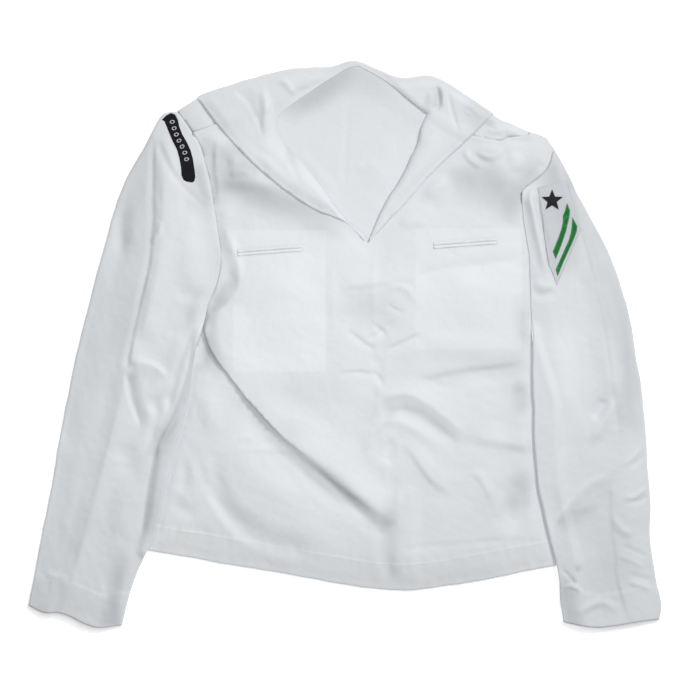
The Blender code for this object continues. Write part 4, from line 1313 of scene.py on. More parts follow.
def over_armhole(places: Array) -> Array:
    """How the front and the sleeve swell together over the left armhole.

    Args:
        places: Places in plan, one a row.

    Returns:
        The height at each place.
    """
    line = smooth_line(ARMHOLE_LEFT, 5)
    distance, station = along(line, places)
    ends = eased(station / 50) * eased((lengths_along(line)[-1] - station) / 60)
    return ARMHOLE_SWELL * eased(1 - abs(distance) / 42) * ends


def near_lap(places: Array, reach: float) -> Array:
    """How near each place is to the laps of the shoulder seams: 1 on them, 0 beyond a reach."""
    distance = np.min([apart(seam, places) for seam in shoulder_seams(5)], axis=0)
    return eased(1 - (distance - LAP) / reach)


def shoulder_pucker(places: Array) -> Array:
    """The small waves of the cloth at the armholes and shoulder seams.

    Args:
        places: Places in plan, one a row.

    Returns:
        The height at each place.
    """
    total = np.zeros(len(places))
    seams = (ARMHOLE_LEFT, ARMHOLE_RIGHT, SHOULDER_SEAM_LEFT, SHOULDER_SEAM_RIGHT)
    for seed, line in enumerate(seams):
        distance, station = along(smooth_line(line, 4), places)
        away = eased(abs(distance) / 3)
        total += 0.45 * away * pucker(distance, station, 19, 13, 20 + seed)
    return total


@dataclass
class Collar:
    """The collar: its flap under the back, its roll round the neck and its two lapels."""

    step: float = 9.0
    loft: float = 3.4
    flat: tuple[float, float] = (0.40, 0.52)
    area: float = 0.135

    @staticmethod
    def edges(step: float) -> list[Array]:
        """The edges of the visible part, from the left lapel's top round to the right one's.

        Args:
            step: The spacing of its points.

        Returns:
            The edges in turn.
        """
        return [
            smooth_line(LAPEL_LEFT, step),
            smooth_line((LAPEL_LEFT[-1], ROLL_LEFT[0]), step),
            smooth_line(ROLL_LEFT, step),
            smooth_line(ROLL_TOP, step),
            smooth_line(ROLL_RIGHT, step),
            smooth_line((ROLL_RIGHT[-1], LAPEL_RIGHT[0]), step),
            smooth_line(LAPEL_RIGHT, step),
        ]

    def outline(self, step: float) -> Array:
        """The collar's pattern, whose second coordinate is the cloth past the start of the roll.

        Args:
            step: The spacing of its points.

        Returns:
            The pattern's points in turn.
        """
        visible, flap = self.edges(step), flap_outline(step)
        for lines in (visible, flap):
            lines[0] = self.round_end(lines[0])
            lines[-1] = self.round_end(lines[-1][::-1])[::-1]
        upper = unrolled(np.vstack([joined(*visible), visible[-1][-1:]]), top_edge, COLLAR_ROLL)
        under = unrolled(joined(*flap)[1:], top_edge, COLLAR_ROLL, below=True)
        return np.vstack([under, upper[::-1]])

    @staticmethod
    def round_end(line: Array) -> Array:
        """A line that leaves the roll's end, with points close to it that follow the roll round."""
        steps = np.array([0.0, 1.2, 3.0, 6.0])
        return np.vstack([read_at(line, steps), line[lengths_along(line) > 6.5]])

    def build(self, maker: Maker, twill: Material) -> Ground:
        """Make the collar and return its face for what lies on it.

        Args:
            maker: What adds the pieces to the scene.
            twill: The material of the cloth.

        Returns:
            The collar's outer face.
        """
        lines = roll_rows(COLLAR_ROLL, LAPEL_LEFT[0][0], LAPEL_RIGHT[-1][0])
        for line, offset in ((ROLL_LEFT, 1.5), (ROLL_LEFT, 5), (ROLL_RIGHT, 1.5), (ROLL_TOP, 1.5)):
            smooth = smooth_line(line, self.step * 0.7)
            lines.append(unrolled(smooth + offset * sideways(smooth), top_edge, COLLAR_ROLL))
        sheet = Sheet.filled(self.outline, lines, self.step)
        points = rolled(sheet.points, top_edge, COLLAR_ROLL, self.under, self.face)
        faces = sheet.faces[:, ::-1]
        thinned = 0.45 + 0.55 * eased(self.from_edges(points[:, :2], 4) / 6)
        edge = np.minimum(self.neck_wall(points[:, :2]), CLOTH * thinned)
        wall, node = np.where(points[:, 2] > 2, edge, CLOTH), ("collar",)
        maker.piece("collar_cloth", points, faces, twill, Slot.TWILL, node, wall, COLLAR_PAINTED_SHADE)
        return Ground(points, faces)

    @staticmethod
    def under(places: Array) -> Array:
        """The flap's outer face, on the table."""
        return np.zeros(len(places))

    def face(self, places: Array) -> Array:
        """The lapels' outer face.

        Args:
            places: Places in plan, one a row.

        Returns:
            The height over each place.
        """
        from_top = top_edge(places[:, 0]) - COLLAR_ROLL - places[:, 1]
        free = eased(from_top / 13) * eased(self.from_edges(places, 5) / 15)
        raised, _ = relief(COLLAR_FOLDS, places)
        fine = uneven(places, (waves, 0.3, 44, 31), (crumple, 0.2, 60, 33), (waves, 0.1, 16, 35))
        height = body_base(places) + LAPEL_LIFT + free * np.maximum(self.loft + raised + fine, -0.8)
        height += (LAP_LIFT - 0.3) * near_lap(places, 10)
        height += self.curl(places) * eased(from_top / 20)
        low = inner_face(places) + self.neck_wall(places) + 0.25
        # Beside each part of the roll, how far its edge reaches and how soft it is, along it
        for line, reaches, softness in (
            (ROLL_LEFT, (2.5, 6, 17, 19, 14, 10), (0, 0.6, 1, 1, 1, 1)),
            (ROLL_TOP, (12, 12, 9, 6, 5.5, 5.5), (1, 1, 0.6, 0.2, 0, 0)),
            (ROLL_RIGHT, (5.5, 5.5), (0, 0)),
        ):
            path = smooth_line(line, 3)
            distance, station = along(path, places)
            at = station / lengths_along(path)[-1]
            share = abs(distance) / np.interp(at, np.linspace(0, 1, len(reaches)), reaches)
            soft = np.interp(at, np.linspace(0, 1, len(softness)), softness)
            height = low + (height - low) * (rounded(share) * (1 - soft) + eased(share) * soft)
        return height

    @staticmethod
    def from_edges(places: Array, step: float) -> Array:
        """How far each place is from the lapels' outer edges."""
        edges = (LAPEL_LEFT, LAPEL_RIGHT)
        return np.min([apart(smooth_line(line, step), places) for line in edges], axis=0)

    @staticmethod
    def neck_wall(places: Array) -> Array:
        """The cloth's thickness, which is pressed thin at the edge round the neck."""
        return CLOTH * (0.3 + 0.7 * eased(apart(neck_edge(4), places) / 10))

    @staticmethod
    def curl(places: Array) -> Array:
        """How the lapels' outer edges lift off the body here and there.

        Args:
            places: Places in plan, one a row.

        Returns:
            The rise at each place.
        """
        total = np.zeros(len(places))
        for seed, line in enumerate((LAPEL_LEFT, LAPEL_RIGHT)):
            distance, station = along(smooth_line(line, 4), places)
            lift = 0.25 + 0.4 * waves(np.column_stack([station, station * 0]), 120, 40 + seed, 9)
            total += lift * np.exp(-abs(distance) / 9)
            total += 0.5 * pucker(distance, station, 17, 8, 44 + seed)
        return np.maximum(total, 0)


class Side(Enum):
    """The side of the body that a sleeve is on, as a sign of its x."""

    LEFT = -1
    RIGHT = 1


@dataclass
class Sleeve:
    """A sleeve: a flattened tube from the armhole to its turned-up cuff.

    lip is how much thicker its end is at the armhole, from lip_start along it, and flush how much
    thinner at the very edge. rise is how far from the armhole its folds reach their full height.
    """

    side: Side
    outer: Line
    inner: Line
    seam: Line
    cuff: Line
    body_side: Line
    folds: tuple
    flat: tuple[float, float]
    area: float
    lip: float
    lip_start: float
    flush: float
    rise: float
    rows: int = 216
    columns: int = 58
    thick: float = 4.6
    seam_thick: float = 4.35
    crown: float = 4.0
    lift: float = 4.6
    width: float = 120.0
    band: float = 41.0
    turn_up: float = 0.7
    length: float = 610.0

    @property
    def name(self) -> str:
        """The sleeve's name."""
        return f"sleeve_{self.side.name.lower()}"

    def plan(self, rows: Array, across: Array) -> Array:
        """Plan points of sections from the armhole to the cuff, between the sleeve's four edges.

        Args:
            rows: The sections' shares from the armhole to the cuff.
            across: The points' shares from the outer to the inner edge.

        Returns:
            The points, a section a row.
        """
        u, v = rows[:, None, None], across[None, :, None]
        outer, inner = (at_shares(line, rows)[:, None] for line in (self.outer, self.inner))
        sides = (1 - v) * outer + v * inner
        ends = (1 - u) * at_shares(self.seam, across)[None] + u * at_shares(self.cuff, across)[None]
        first, last = np.array(self.outer[0], float), np.array(self.outer[-1], float)
        first_in, last_in = np.array(self.inner[0], float), np.array(self.inner[-1], float)
        corners = (1 - u) * ((1 - v) * first + v * first_in) + u * ((1 - v) * last + v * last_in)
        return sides + ends - corners

    def raised(self, places: Array) -> Array:
        """How far the lower wall is raised where it lies on the body's side.

        Args:
            places: Places in plan, one a row.

        Returns:
            The rise at each place.
        """
        into_body = -self.side.value * along(smooth_line(self.body_side, 8), places)[0]
        below_seam = self.body_side[0][1] - 3 - places[:, 1]
        above_end = places[:, 1] - self.body_side[-1][1] + 46
        over_side = self.lift * eased((into_body + 14) / 12)
        return over_side * eased(below_seam / 20) * eased(above_end / 36)

    def sections(self) -> tuple[Array, Array, float]:
        """Where down and across the sleeve its points are, and how wide its rounded edge is.

        Returns:
            The shares down, the shares across and the rounded edge's share.
        """
        band = self.band / self.length
        rows = np.r_[np.linspace(0.0008, 1 - band - 0.006, self.rows), 1 - band - 0.002]
        rows = np.r_[rows, 1 - band + 0.002, np.linspace(1 - band + 0.008, 1, 14)]
        rim = self.thick / 2 / self.width
        edge = np.array([0, 0.06, 0.2, 0.5, 1.0, 1.7]) * rim
        middle = np.linspace(edge[-1] + 0.018, 1 - edge[-1] - 0.018, self.columns)
        return rows, np.r_[edge, middle, 1 - edge[::-1]], rim

    def wall(self, rows: Array, shares: Array, rim: float, upper: bool) -> Array:
        """One wall of the flattened tube.

        Args:
            rows: The shares from the armhole to the cuff.
            shares: The shares from the outer to the inner edge.
            rim: The share across that its rounded edge takes.
            upper: Whether it is the wall that shows.

        Returns:
            Its sections, with the cloth's thickness as each point's fourth number.
        """
        plan = self.plan(rows, shares)
        places = plan.reshape(-1, 2)
        near_edge = np.tile(np.minimum(shares, 1 - shares), len(rows))
        roundness = rounded(near_edge / rim)
        from_seam, at_seam = along(smooth_line(self.seam, 5), places)
        from_cuff, at_cuff = along(smooth_line(self.cuff, 5), places)
        from_seam, from_cuff = abs(from_seam), abs(from_cuff)
        thick = self.seam_thick + (self.thick - self.seam_thick) * eased(from_seam / 36)
        shifts = np.zeros((len(places), 2))
        if upper:
            free = eased(from_seam / self.rise) * eased(near_edge * self.width / 9)
            height, shifts = relief(self.folds, places)
            broad = (waves, 0.4, 50, 51 + self.side.value)
            height += uneven(places, broad, (crumple, 0.3, 66, 55), (waves, 0.12, 16, 57))
            thick = thick + free * (self.crown * eased(near_edge * self.width / 28) + height)
            shifts = shifts * free[:, None]
            thick += self.turn_up * eased((self.band - from_cuff) / 2.4 + 0.5)
            thick += 0.5 * pucker(self.band - from_cuff, at_cuff, 14, 9, 71) * free
            thick += 0.6 * pucker(from_seam, at_seam, 18, 14, 73) * eased(from_seam / 4)
            thick += 0.4 * pucker(from_cuff, at_cuff, 17, 10, 75) * free
        thick = np.maximum(thick, 2 * CLOTH + LAYER_GAP)
        # Its end meets the front's edge at the armhole
        lip = eased((at_seam - self.lip_start) / 30) * eased(1 - from_seam / 16)
        thick += self.lip * lip * upper
        at_edge = self.flush * eased(1 - from_seam / 4)
        thick -= at_edge * upper
        if upper and self.side is Side.LEFT:
            thick += over_armhole(places)
        wall = CLOTH * (1 - LAP_THINNING * eased(1 - from_seam / 14)) - 0.75 * at_edge
        z = self.raised(places) + thick * (0.5 + (0.5 if upper else -0.5) * roundness)
        if upper:
            z += under_lift(places) * eased(1 - from_seam / 20)
            ends = sideways(at_shares(self.seam, shares)) * -self.side.value * LAP
            shifts[: len(shares)] = ends * eased(near_edge[: len(shares)] / rim / 2)[:, None]
        points = np.column_stack([settled(places + shifts), z, wall])
        return points.reshape(*plan.shape[:2], 4)

    def build(self, maker: Maker, twill: Material) -> Ground:
        """Make the sleeve and return its face for what lies on it.

        Args:
            maker: What adds the pieces to the scene.
            twill: The material of the cloth.

        Returns:
            The sleeve's outer face.
        """
        rows, across, rim = self.sections()
        walls = [self.wall(rows, across, rim, True), self.wall(rows, across[-2:0:-1], rim, False)]
        rings = np.concatenate(walls, axis=1)
        count = rings.shape[1]
        starts, turn = np.arange(len(rows) - 1)[:, None] * count, np.arange(count)
        near, far = (starts + turn).ravel(), (starts + (turn + 1) % count).ravel()
        faces = np.column_stack([near, far, far + count, near + count])
        if self.side is Side.LEFT:
            faces = faces[:, ::-1]
        points, wall = rings.reshape(-1, 4)[:, :3], rings.reshape(-1, 4)[:, 3]
        name, node = f"{self.name}_cloth", (self.name,)
        maker.piece(name, points, faces, twill, Slot.TWILL, node, wall, SLEEVE_PAINTED_SHADE)
        return Ground(points, np.vstack([faces[:, :3], faces[:, [0, 2, 3]]]))


@dataclass
class Trim:
    """A flat piece that lies on a cloth face and follows it.

    It lies a gap above the highest of the cloth within near of each point. Its wall thins towards
    its edge, and its crown is what it gains within crown_reach of the edge.
    """

    name: str
    rim: Callable[[float], Array]
    slot: Slot
    stands_for: tuple[str, ...]
    wall: float = 0.5
    gap: float = 0.15
    step: float = 5.0
    times: int = 2
    edge: float = 0.9
    crown: float = 0.0
    crown_reach: float = 2.0
    near: float = 1.6

    def build(self, maker: Maker, ground: Ground, material: Material) -> Ground:
        """Make the trim on its ground and return its own face.

        Args:
            maker: What adds the pieces to the scene.
            ground: The face that it lies on.
            material: The trim's material.

        Returns:
            The trim's outer face.
        """
        sheet = Sheet.filled(self.rim, [], self.step, self.times)
        base = ground.height_near(sheet.points, self.near)
        highest = ground.height_near(sheet.points, 2.2 * self.near)
        base = np.maximum(base, 0.6 * base + 0.4 * highest)
        inner = apart(closed(self.rim(1.0)), sheet.points)
        wall = self.wall * (1 - 0.7 * (1 - rounded(inner / self.edge)))
        wall += self.crown * eased(inner / self.crown_reach)
        points = np.column_stack([sheet.points, base + self.gap + wall])
        maker.piece(self.name, points, sheet.faces, material, self.slot, self.stands_for, wall)
        return Ground(points, sheet.faces)


def strip_rim(path: Iterable, width: float) -> Callable[[float], Array]:
    """The outline of a strip of even width along a path, for any spacing.

    Args:
        path: The strip's middle line.
        width: How wide the strip is.

    Returns:
        What gives the outline at a spacing.
    """

    def rim(step: float) -> Array:
        """The strip's outline.

        Args:
            step: The spacing of its points.

        Returns:
            The outline's points in turn.
        """
        line = smooth_line(path, step)
        half = sideways(line) * width / 2
        across = max(2, round(width / step) + 1)
        end = np.linspace(line[-1] - half[-1], line[-1] + half[-1], across)[1:-1]
        start = np.linspace(line[0] + half[0], line[0] - half[0], across)[1:-1]
        return np.vstack([line - half, end, (line + half)[::-1], start])

    return rim


def corner_rim(corners: Iterable) -> Callable[[float], Array]:
    """The outline between corners, for any spacing."""
    loop = [*corners, corners[0]]
    return lambda step: smooth_line(loop, step, True)[:-1]


@dataclass
class Stitching:
    """Rows of stitches on a ground, joined in one piece."""

    name: str
    material: Material
    slot: Slot
    pitch: float = 3.0
    long: float = 2.2
    thick: float = 0.34
    points: list[Array] = field(default_factory=list)
    faces: list[Array] = field(default_factory=list)

    def row(self, ground: Ground, line: Array, seed: int = 0) -> "Stitching":
        """Add a row of stitches along a line of places.

        Args:
            ground: The face that it lies on.
            line: The places that it runs along.
            seed: The seed of its random draws.

        Returns:
            The stitching itself.
        """
        length = lengths_along(line)[-1]
        middles = np.arange(self.pitch / 2, length - self.pitch / 2, self.pitch)
        draw = np.random.default_rng(seed + len(middles))
        middles = middles + draw.uniform(-0.12, 0.12, len(middles)) * self.pitch
        half = self.long / 2 * draw.uniform(0.88, 1.08, len(middles))
        ends = [read_at(line, middles + sign * half) for sign in (-1, 1)]
        heights = [ground.height(end) for end in ends]
        kept = np.minimum(*heights) > 0.05
        return self.add(np.array([np.column_stack([e, h])[kept] for e, h in zip(ends, heights)]))

    def add(self, ends: Array) -> "Stitching":
        """Add stitches between two rows of ends in space.

        Args:
            ends: Where the stitches start, then where they end.

        Returns:
            The stitching itself.
        """
        start, end = ends
        run = end - start
        run /= np.linalg.norm(run, axis=1)[:, None]
        side = np.cross(np.array([0, 0, 1.0]), run)
        side /= np.linalg.norm(side, axis=1)[:, None]
        up = np.cross(run, side)
        rings = [start - 0.1 * up]
        for share in (0.22, 0.78):
            centre = start + (end - start) * share + up * self.thick * 0.35
            for turn in np.arange(5) * 2 * pi / 5 + pi / 10:
                rings.append(centre + self.thick / 2 * (cos(turn) * side + sin(turn) * up))
        rings.append(end - 0.1 * up)
        points = np.stack(rings, axis=1)
        pattern = [(0, 1 + (i + 1) % 5, 1 + i) for i in range(5)]
        for i in range(5):
            a, b = 1 + i, 1 + (i + 1) % 5
            pattern += [(a, b, b + 5), (a, b + 5, a + 5)]
        pattern += [(11, 6 + i, 6 + (i + 1) % 5) for i in range(5)]
        first = sum(len(p) for p in self.points)
        starts = first + np.arange(len(points)) * 12
        self.faces.append((starts[:, None, None] + np.array(pattern)).reshape(-1, 3))
        self.points.append(points.reshape(-1, 3))
        return self

    def single(self, ground: Ground, ends: Array) -> "Stitching":
        """Add one stitch from end to end."""
        return self.add(np.column_stack([ends, ground.height(ends)])[:, None])

    def build(self, maker: Maker) -> None:
        """Make the piece of all rows."""
        points, faces = np.vstack(self.points), np.vstack(self.faces)
        maker.piece(self.name, points, faces, self.material, self.slot)


def beside(points: Iterable, offset: float, step: float = 2.0) -> Array:
    """A smooth line moved to the left of its run."""
    line = smooth_line(points, step)
    return line + offset * sideways(line)


class Value:
    """A number in a material, whose arithmetic adds Math nodes."""

    def __init__(self, look: "Look", socket: bpy.types.NodeSocket) -> None:
        """Wrap an output socket of a look."""
        self.look, self.socket = look, socket

    def maths(self, operation: str, *others: object, clamp: bool = False) -> "Value":
        """One Math node on this number and others.

        Args:
            operation: What the node works out.
            others: The other numbers.
            clamp: Whether the result is kept between 0 and 1.

        Returns:
            The node's result.
        """
        inputs = dict(enumerate((self, *others)))
        settings = {"operation": operation, "use_clamp": clamp}
        made = self.look.node("ShaderNodeMath", settings, inputs)
        return Value(self.look, made.outputs[0])

    def __add__(self, other: object) -> "Value":
        """The sum."""
        return self.maths("ADD", other)

    def __sub__(self, other: object) -> "Value":
        """The difference."""
        return self.maths("SUBTRACT", other)

    def __rsub__(self, other: object) -> "Value":
        """The difference, turned round."""
        return (self * -1.0) + other

    def __mul__(self, other: object) -> "Value":
        """The product."""
        return self.maths("MULTIPLY", other)

    __radd__, __rmul__ = __add__, __mul__

    def __abs__(self) -> "Value":
        """The size without its sign."""
        return self.maths("ABSOLUTE")

    def ramp(self, start: float, end: float) -> "Value":
        """A soft step from 0 at start to 1 at end.

        Args:
            start: The number at which it is 0.
            end: The number at which it is 1.

        Returns:
            The step's height.
        """
        settings = {"interpolation_type": "SMOOTHSTEP"}
        inputs = {0: self, 1: start, 2: end, 3: 0.0, 4: 1.0}
        made = self.look.node("ShaderNodeMapRange", settings, inputs)
        return Value(self.look, made.outputs[0])

    def wave(self) -> "Value":
        """Its sine."""
        return self.maths("SINE")


class Look:
    """A material with a Principled shader, and the means to add to it."""

    def __init__(self, name: str, roughness: float, sheen: float) -> None:
        """Make a material with its even settings.

        Args:
            name: The material's name.
            roughness: How rough the surface is.
            sheen: How strong its sheen is.
        """
        self.material = bpy.data.materials.new(name)
        self.material.use_nodes = True
        self.tree = self.material.node_tree
        self.shader = self.tree.nodes["Principled BSDF"]
        self.set("Roughness", roughness)
        self.set("Sheen Weight", sheen)
        self.set("Sheen Roughness", 0.5)
        self.set("Specular IOR Level", 0.25)
        self.place = self.node("ShaderNodeTexCoord", {}, {}).outputs["Object"]
        split = self.node("ShaderNodeSeparateXYZ", {}, {0: self.place})
        self.x, self.y = (Value(self, split.outputs[i]) for i in (0, 1))

    def node(self, kind: str, settings: dict, inputs: dict) -> bpy.types.Node:
        """Add a node.

        Args:
            kind: Its type.
            settings: Its properties, which are set first.
            inputs: What each socket holds or is linked to, by name or number.

        Returns:
            The node.
        """
        made = self.tree.nodes.new(kind)
        for key, setting in settings.items():
            setattr(made, key, setting)
        for key, value in inputs.items():
            socket = made.inputs[key]
            if isinstance(value, Value):
                self.tree.links.new(value.socket, socket)
            elif isinstance(value, bpy.types.NodeSocket):
                self.tree.links.new(value, socket)
            else:
                socket.default_value = value
        return made

    def set(self, name: str, value: object) -> None:
        """Set or link one of the shader's sockets.

        Args:
            name: The socket's name.
            value: A number, or what it is linked to.
        """
        socket = self.shader.inputs[name]
        if isinstance(value, (Value, bpy.types.NodeSocket)):
            self.tree.links.new(getattr(value, "socket", value), socket)
        else:
            socket.default_value = value

    def noise(self, size: float, detail: float = 2.0, stretch: tuple = (1, 1, 1)) -> Value:
        """Uneven noise whose bumps are about a size across, in millimetres.

        Args:
            size: How far a bump is across.
            detail: How many finer layers it has.
            stretch: What each direction is multiplied by.

        Returns:
            The noise, of 0 to 1.
        """
        settings, inputs = {"operation": "MULTIPLY"}, {0: self.place, 1: stretch}
        scaled = self.node("ShaderNodeVectorMath", settings, inputs)
        inputs = {"Vector": scaled.outputs[0], "Scale": 1000 / size, "Detail": detail}
        return Value(self, self.node("ShaderNodeTexNoise", {}, inputs).outputs[0])

    def mixed(self, share: Value, first: object, second: object) -> bpy.types.NodeSocket:
        """A colour between two others.

        Args:
            share: The share of the second colour.
            first: The first colour.
            second: The second colour.

        Returns:
            The mixed colour.
        """
        settings = {"data_type": "RGBA"}
        made = self.node("ShaderNodeMix", settings, {0: share, 6: first, 7: second})
        return made.outputs[2]

    def bump(self, height: Value) -> None:
        """Roughen the surface by a height in millimetres."""
        inputs = {"Height": height * MM, "Distance": 1.0, "Strength": 1.0}
        self.set("Normal", self.node("ShaderNodeBump", {}, inputs).outputs[0])


@dataclass(frozen=True)
class Zone:
    """A rectangle of cloth with soft sides, where another layer or some wear shows."""

    middle: tuple[float, float]
    half: tuple[float, float]
    soft: float
    amount: float
    uneven: float = 0.0
    worn: bool = False

    def mask(self, look: Look) -> Value:
        """How much of it shows at each place.

        Args:
            look: The material that it is added to.

        Returns:
            The share that shows.
        """
        shares = []
        for value, middle, half in zip((look.x, look.y), self.middle, self.half):
            away = abs(value - middle * MM)
            shares.append(away.ramp((half + self.soft) * MM, (half - self.soft) * MM))
        mask = shares[0] * shares[1] * self.amount
        if self.uneven:
            mask = mask * look.noise(14, 3).ramp(0.5 - 0.1 * self.uneven, 0.75)
        return mask


@dataclass(frozen=True)
class Twill:
    """White cotton twill: fine slanted ribs, slubs, soft creases, double or worn cloth, and painted
    shade.
    """

    name: str
    colour: tuple[float, float, float] = (0.715, 0.737, 0.762)
    shade: tuple[float, float, float] = (0.675, 0.70, 0.725)
    double: tuple[float, float, float] = (0.79, 0.80, 0.825)
    worn: tuple[float, float, float] = (0.72, 0.70, 0.64)
    rib: float = 0.9
    zones: tuple[Zone, ...] = ()

    def dress(self) -> Material:
        """Make the material.

        Returns:
            The finished material.
        """
        look = Look(self.name, 0.86, 0.12)
        drift = look.noise(26, 2) - 0.5
        rib = ((look.x + look.y) * (2 * pi / (self.rib * MM * 2**0.5)) + drift * 9.0).wave()
        yarn = look.noise(0.5, 2, (1, 0.3, 1)) - 0.5
        slub = look.noise(3.2, 2, (0.25, 1, 1)) - 0.5
        crease = abs(look.noise(30, 3) - 0.5)
        soft = look.noise(9, 2) - 0.5
        look.bump(rib * 0.03 + yarn * 0.05 + slub * 0.05 + crease * -1.1 + soft * 0.30)
        cloud = look.noise(120, 3).ramp(0.35, 0.7)
        fleck = look.noise(2.2, 2).ramp(0.45, 0.8)
        share = cloud * 0.35 + fleck * 0.12 + rib * 0.03
        colour = look.mixed(share, (*self.colour, 1), (*self.shade, 1))
        for zone in self.zones:
            tint = self.worn if zone.worn else self.double
            colour = look.mixed(zone.mask(look), colour, (*tint, 1))
        # Painted shade: the colour is scaled down by the depth of painted grey kept on the mesh,
        # and up where painted light makes it paler
        painted_shade = look.node("ShaderNodeAttribute", {"attribute_name": "painted_shade"}, {}).outputs["Fac"]
        inputs = {0: colour, 3: 1 - Value(look, painted_shade)}
        colour_with_painted_shade = look.node("ShaderNodeVectorMath", {"operation": "SCALE"}, inputs)
        look.set("Base Color", colour_with_painted_shade.outputs[0])
        look.set("Roughness", look.noise(6, 2) * 0.12 + 0.80)
        return look.material


@dataclass(frozen=True)
class Woven:
    """A coloured trim: close ribs across or along it, fibres, and paler rubbed places."""

    name: str
    colour: tuple[float, float, float]
    rubbed: tuple[float, float, float]
    rib: float
    turn: float
    roughness: float
    sheen: float
    fibre: float = 0.08

    def dress(self) -> Material:
        """Make the material.

        Returns:
            The finished material.
        """
        look = Look(self.name, self.roughness, self.sheen)
        angle = radians(self.turn)
        run = look.x * cos(angle) + look.y * sin(angle)
        rib = (run * (2 * pi / (self.rib * MM)) + (look.noise(6) - 0.5) * 2.0).wave()
        fibre = look.noise(0.6, 3, (1, 0.35, 1)) - 0.5
        look.bump(rib * 0.07 + fibre * self.fibre)
        mask = look.noise(7, 3).ramp(0.5, 0.8) * 0.5 + (rib * 0.5 + 0.5) * 0.25
        look.set("Base Color", look.mixed(mask, (*self.colour, 1), (*self.rubbed, 1)))
        look.set("Roughness", look.noise(5, 2) * 0.15 + (self.roughness - 0.08))
        return look.material


@dataclass
class Studio:
    """The table, the lights and the camera of a picture taken from straight above."""

    eye: tuple[float, float] = (6.25, -6.25)
    height: float = 2500.0
    across: float = 875.0
    glow: float = 0.35
    ambient: float = 0.34

    def floor(self) -> None:
        """The pale plain surface that the shirt lies on."""
        mesh = bpy.data.meshes.new("table")
        half = 3.0
        corners = [(-half, -half, 0), (half, -half, 0), (half, half, 0), (-half, half, 0)]
        mesh.from_pydata([(x, y, -0.0002) for x, y, _ in corners], [], [(0, 1, 2, 3)])
        look = Look("table", 0.9, 0.0)
        look.set("Base Color", (0.93, 0.935, 0.94, 1))
        look.set("Emission Color", (1, 1, 1, 1))
        look.set("Emission Strength", self.glow)
        mesh.materials.append(look.material)
        table = bpy.data.objects.new("table", mesh)
        bpy.context.scene.collection.objects.link(table)

    def light(self, name: str, place: tuple, aim: tuple, size: float, power: float) -> None:
        """Add a square soft light.

        Args:
            name: The lamp's name.
            place: Where it stands.
            aim: What it points at.
            size: How wide the lamp is.
            power: Its power in watts.
        """
        lamp = bpy.data.lights.new(name, "AREA")
        lamp.size, lamp.energy = size, power
        lamp.color = (1.0, 0.995, 0.985)
        thing = bpy.data.objects.new(name, lamp)
        thing.location = place
        thing.rotation_euler = (Vector(place) - Vector(aim)).to_track_quat("Z", "Y").to_euler()
        bpy.context.scene.collection.objects.link(thing)

    def build(self) -> None:
        """Make the stage."""
        self.floor()
        scene = bpy.context.scene
        scene.view_settings.view_transform = "Standard"
        world = bpy.data.worlds.new("room")
        world.use_nodes = True
        world.node_tree.nodes["Background"].inputs["Color"].default_value = (0.97, 0.985, 1, 1)
        world.node_tree.nodes["Background"].inputs["Strength"].default_value = self.ambient
        scene.world = world
        self.light("window", (2.2, 2.6, 3.1), (0.0, 0.0, 0), 1.3, 112.0)
        self.light("overhead", (-0.02, 0.0, 0.85), (-0.02, 0.0, 0), 0.4, 3.0)
        camera = bpy.data.cameras.new("camera")
        camera.sensor_width = 36
        camera.lens = 36 * self.height / self.across
        camera.clip_end = 20
        eye = bpy.data.objects.new("camera", camera)
        eye.location = (self.eye[0] * MM, self.eye[1] * MM, self.height * MM)
        scene.collection.objects.link(eye)
        scene.camera = eye


@dataclass
class Pocket:
    """A slanted welt pocket: two padded lips round a closed slit, with a bar at each end."""

    name: str
    left: tuple[float, float]
    right: tuple[float, float]
    lip: float = 4.2
    slit: float = 0.3
    raised: float = 0.8
    bar: float = 5.6

    def build(self, maker: Maker, front: Ground, twill: Material, thread: Stitching) -> None:
        """Make the lips on the front, and their stitches.

        Args:
            maker: What adds the pieces to the scene.
            front: The front's face.
            twill: The material of the cloth.
            thread: The stitching that the pocket's rows are added to.
        """
        left, right = (np.array(end) + (0, self.raised) for end in (self.left, self.right))
        lift = np.array([0, (self.lip + self.slit) / 2])
        for part, sign in (("upper", 1), ("lower", -1)):
            name = f"{self.name}_{part}_welt"
            rim = strip_rim((left + sign * lift, right + sign * lift), self.lip)
            thin = {"wall": 0.16, "gap": 0.06, "crown": 0.2, "near": 0.5}
            lip = Trim(f"{name}_lip", rim, Slot.TWILL, (name,), step=3.0, times=1, **thin)
            face = lip.build(maker, front, twill)
            middle = sign * (lift + (0, 1.1))
            thread.row(face, smooth_line((left + middle, right + middle), 2), 3)
            outer = sign * np.array([0, self.lip + self.slit + 1.2])
            thread.row(front, smooth_line((left - (2, 0) + outer, right + (2, 0) + outer), 2), 5)
        for end, out in ((left, -1.2), (right, 1.2)):
            for nudge in (0.0, 0.55):
                x = end[0] + out + nudge
                ends = [(x, end[1] - self.bar), (x, end[1] + self.bar)]
                thread.row(front, smooth_line(ends, 1), 7)


